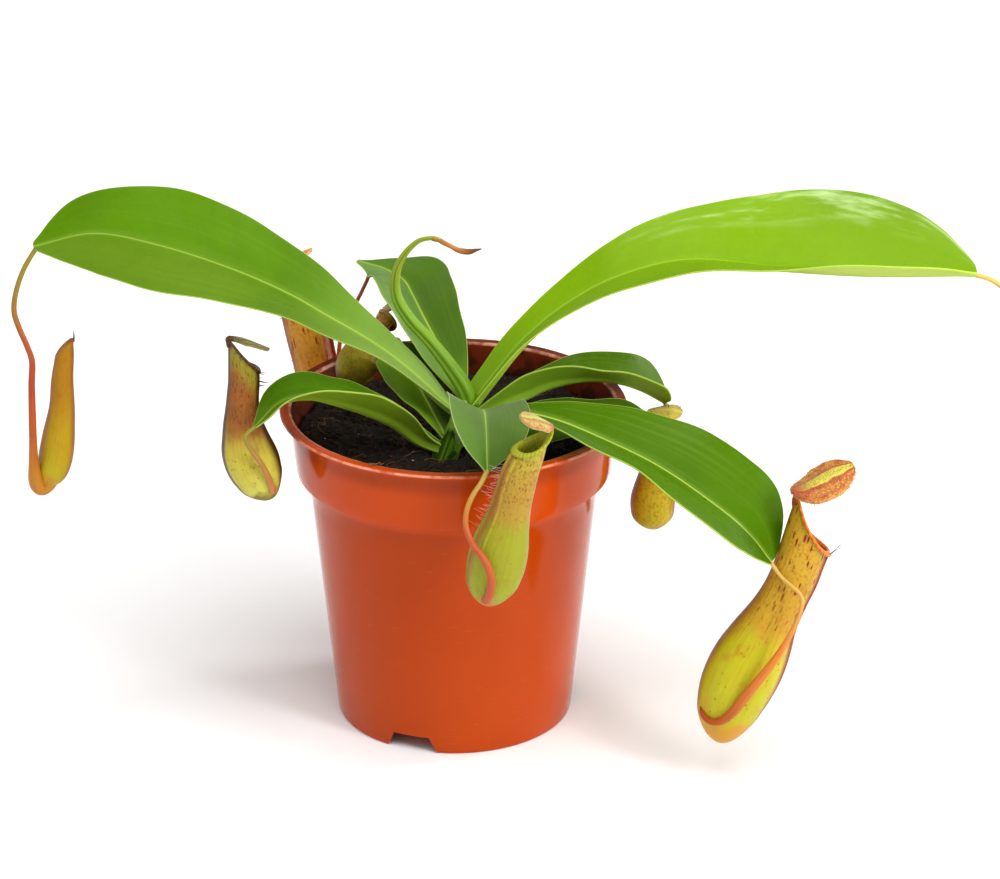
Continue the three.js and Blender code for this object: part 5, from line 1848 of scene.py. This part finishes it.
PITCHER_LOOKS = {
    "far_left": PitcherFinish(
        "left_bud_skin", (176, 166, 24), (172, 142, 12), (166, 116, 8), (164, 84, 10), (120, 70, 20),
        (170, 110, 30), (140, 70, 20), fleck_amount=0.15, foot=(190, 126, 24), foot_reach=0.16,
        edge_shade_width=0.12, streaks=((346, 60), (168, 50)), streak=(140, 78, 8)),
    "right_high": PitcherFinish(
        "right_bud_skin", (176, 162, 24), (174, 138, 8), (170, 112, 6), (164, 84, 10), (120, 70, 20),
        (170, 110, 30), (140, 70, 20), fleck_amount=0.15, foot=(196, 128, 24), foot_reach=0.3,
        edge_shade_width=0.12, streaks=((336, 44), (156, 40)), streak=(150, 88, 12)),
    "back": PitcherFinish(
        "back_pitcher_skin", (180, 140, 36), (196, 130, 30), (202, 142, 42), (150, 50, 14),
        (140, 44, 12), (190, 90, 40), (150, 50, 20), fleck_amount=1.0, edge_shade_width=0.2, dash=11.0,
        grain=0.25, grain_from=-0.5, streaks=((204, 52), (24, 24)), streak=(124, 44, 14)),
    "right_small": PitcherFinish(
        "small_pitcher_skin", (190, 172, 24), (182, 158, 20), (170, 132, 24), (160, 106, 20),
        (120, 60, 20), (200, 176, 60), (160, 120, 40), fleck_amount=0.25, grain=0.4,
        foot=(160, 134, 26), grain_from=-0.6, streaks=((187, 50), (7, 44)), streak=(140, 84, 16)),
    "right_front": PitcherFinish(
        "front_right_skin", (180, 182, 26), (186, 178, 28), (192, 152, 40), (170, 70, 22),
        (128, 30, 8), (206, 116, 36), (190, 74, 22), fleck_amount=1.0, turning=(0.44, 0.58),
        edge_shade_width=0.0, foot=(206, 132, 38), foot_reach=0.2, dash=17.0, grain=0.3,
        streaks=((149, 44), (332, 26)), streak=(134, 70, 14)),
    "front": PitcherFinish(
        "front_pitcher_skin", (150, 158, 34), (150, 152, 34), (174, 140, 50), (150, 100, 36),
        (128, 50, 20), (160, 164, 36), (148, 150, 32), inside=(150, 154, 46), fleck_amount=0.75,
        turning=(0.46, 0.6), foot=(186, 120, 56), foot_reach=0.08, grain=0.4, collar=(176, 164, 56)),
    "left_small": PitcherFinish(
        "left_pitcher_skin", (206, 206, 88), (194, 178, 62), (148, 88, 36), (90, 52, 14), (84, 30, 14),
        (84, 56, 24), (50, 30, 18), fleck_amount=0.6, turning=(0.34, 0.62), foot=(96, 70, 22),
        edge_shade_width=0.08, collar=(150, 140, 40), streaks=((339, 44), (160, 36)), streak=(70, 40, 12)),
    "back_left": PitcherFinish(
        "back_left_skin", (158, 144, 16), (152, 128, 14), (136, 96, 26), (110, 72, 16), (70, 36, 16),
        (150, 124, 44), (110, 80, 30), fleck_amount=0.5, foot=(126, 106, 14), grain=0.3,
        grain_from=-0.5),
}
PITCHER_SLOTS = {
    "far_left": "pitcher_yellow", "right_high": "pitcher_yellow", "back": "pitcher_orange",
    "right_small": "pitcher_yellow", "right_front": "pitcher_yellow", "front": "pitcher_yellow",
    "left_small": "pitcher_orange", "back_left": "pitcher_yellow",
}

LID_LOOKS = {
    "back": LidFinish(
        "back_lid", (236, 190, 100), (226, 160, 76), (206, 110, 50), (190, 70, 36), (220, 170, 90)),
    "right_small": LidFinish(
        "small_lid", (206, 190, 60), (196, 178, 60), (190, 164, 60), (150, 110, 36), (186, 168, 60),
        0.15, 0.1),
    "right_front": LidFinish(
        "front_right_lid", (214, 206, 70), (218, 162, 60), (216, 152, 60), (172, 50, 18),
        (206, 150, 54), 0.85, 0.6, crest=0.2),
    "front": LidFinish(
        "front_lid", (188, 186, 84), (190, 172, 82), (186, 126, 66), (158, 50, 34), (186, 180, 90),
        0.65, 0.1),
    "left_small": LidFinish(
        "left_lid", (170, 160, 70), (156, 144, 60), (110, 90, 36), (84, 56, 24), (150, 136, 60), 0.5,
        0.3),
    "back_left": LidFinish(
        "back_left_lid", (244, 216, 160), (236, 204, 146), (220, 176, 120), (196, 140, 84),
        (240, 206, 150), 0.3, 0.2),
}

SPINE = HairFinish("dark_spine", (96, 44, 22), (60, 26, 18))
WHISKER = HairFinish("brown_whisker", (150, 60, 30), (90, 50, 30))
FRINGE = HairFinish("pale_fringe", (196, 120, 100), (240, 206, 196))
VELVET = HairFinish("lid_velvet", (140, 50, 18), (222, 176, 84))

HAIR_ROWS = {
    "right_front": (HairRow(2, (350, 366), (0.985, 0.998), 7.5, 0.2, SPINE, lean=0.3),
                    HairRow(3, (325, 345), (0.98, 0.995), 8.0, 0.18, SPINE, lean=2.2)),
    "front": (HairRow(34, (332, 340), (0.44, 0.92), 4.4, 0.09, FRINGE),
              HairRow(8, (20, 28), (0.6, 0.92), 1.4, 0.07, FRINGE)),
    "left_small": (HairRow(7, (318, 345), (0.88, 1.0), 4.4, 0.22, SPINE, lean=0.5),
                   HairRow(5, (10, 30), (0.8, 0.96), 2.4, 0.15, SPINE)),
    "back": (HairRow(12, (172, 200), (0.3, 0.97), 2.4, 0.14, SPINE, lean=0.4),
             HairRow(8, (20, 30), (0.4, 0.95), 2.6, 0.12, SPINE),
             HairRow(8, (330, 340), (0.4, 0.95), 2.6, 0.12, SPINE)),
    "right_small": (HairRow(6, (160, 200), (0.97, 1.0), 4.6, 0.2, SPINE, lean=2.5),
                    HairRow(8, (20, 30), (0.5, 0.95), 1.6, 0.09, WHISKER),
                    HairRow(8, (330, 340), (0.5, 0.95), 1.6, 0.09, WHISKER)),
    "far_left": (HairRow(1, (179, 181), (0.985, 0.99), 3.4, 0.5, SPINE, lean=2.2),),
    "right_high": (HairRow(1, (179, 181), (0.985, 0.99), 3.4, 0.5, SPINE, lean=2.2),),
    "back_left": (HairRow(6, (20, 30), (0.5, 0.95), 1.4, 0.1, SPINE),
                  HairRow(6, (325, 340), (0.6, 0.97), 1.6, 0.12, SPINE)),
}

LID_FUZZ = {
    "right_front": (1500, 0.9, 0.14, VELVET),
    "right_small": (16, 2.0, 0.14, SPINE),
    "back": (60, 1.0, 0.09, WHISKER),
    "front": (30, 0.7, 0.07, WHISKER),
}


def main() -> None:
    """Builds the plant and the studio."""
    logging.basicConfig(level=logging.INFO, format="%(message)s")
    Studio().build()
    NurseryPot().build()
    Earth().build()
    Foliage(LEAF_LOOKS).build()
    Traps(PITCHER_LOOKS, LID_LOOKS, STALK_LOOKS, PITCHER_SLOTS, HAIR_ROWS, LID_FUZZ).build()


if __name__ == "__main__":
    main()
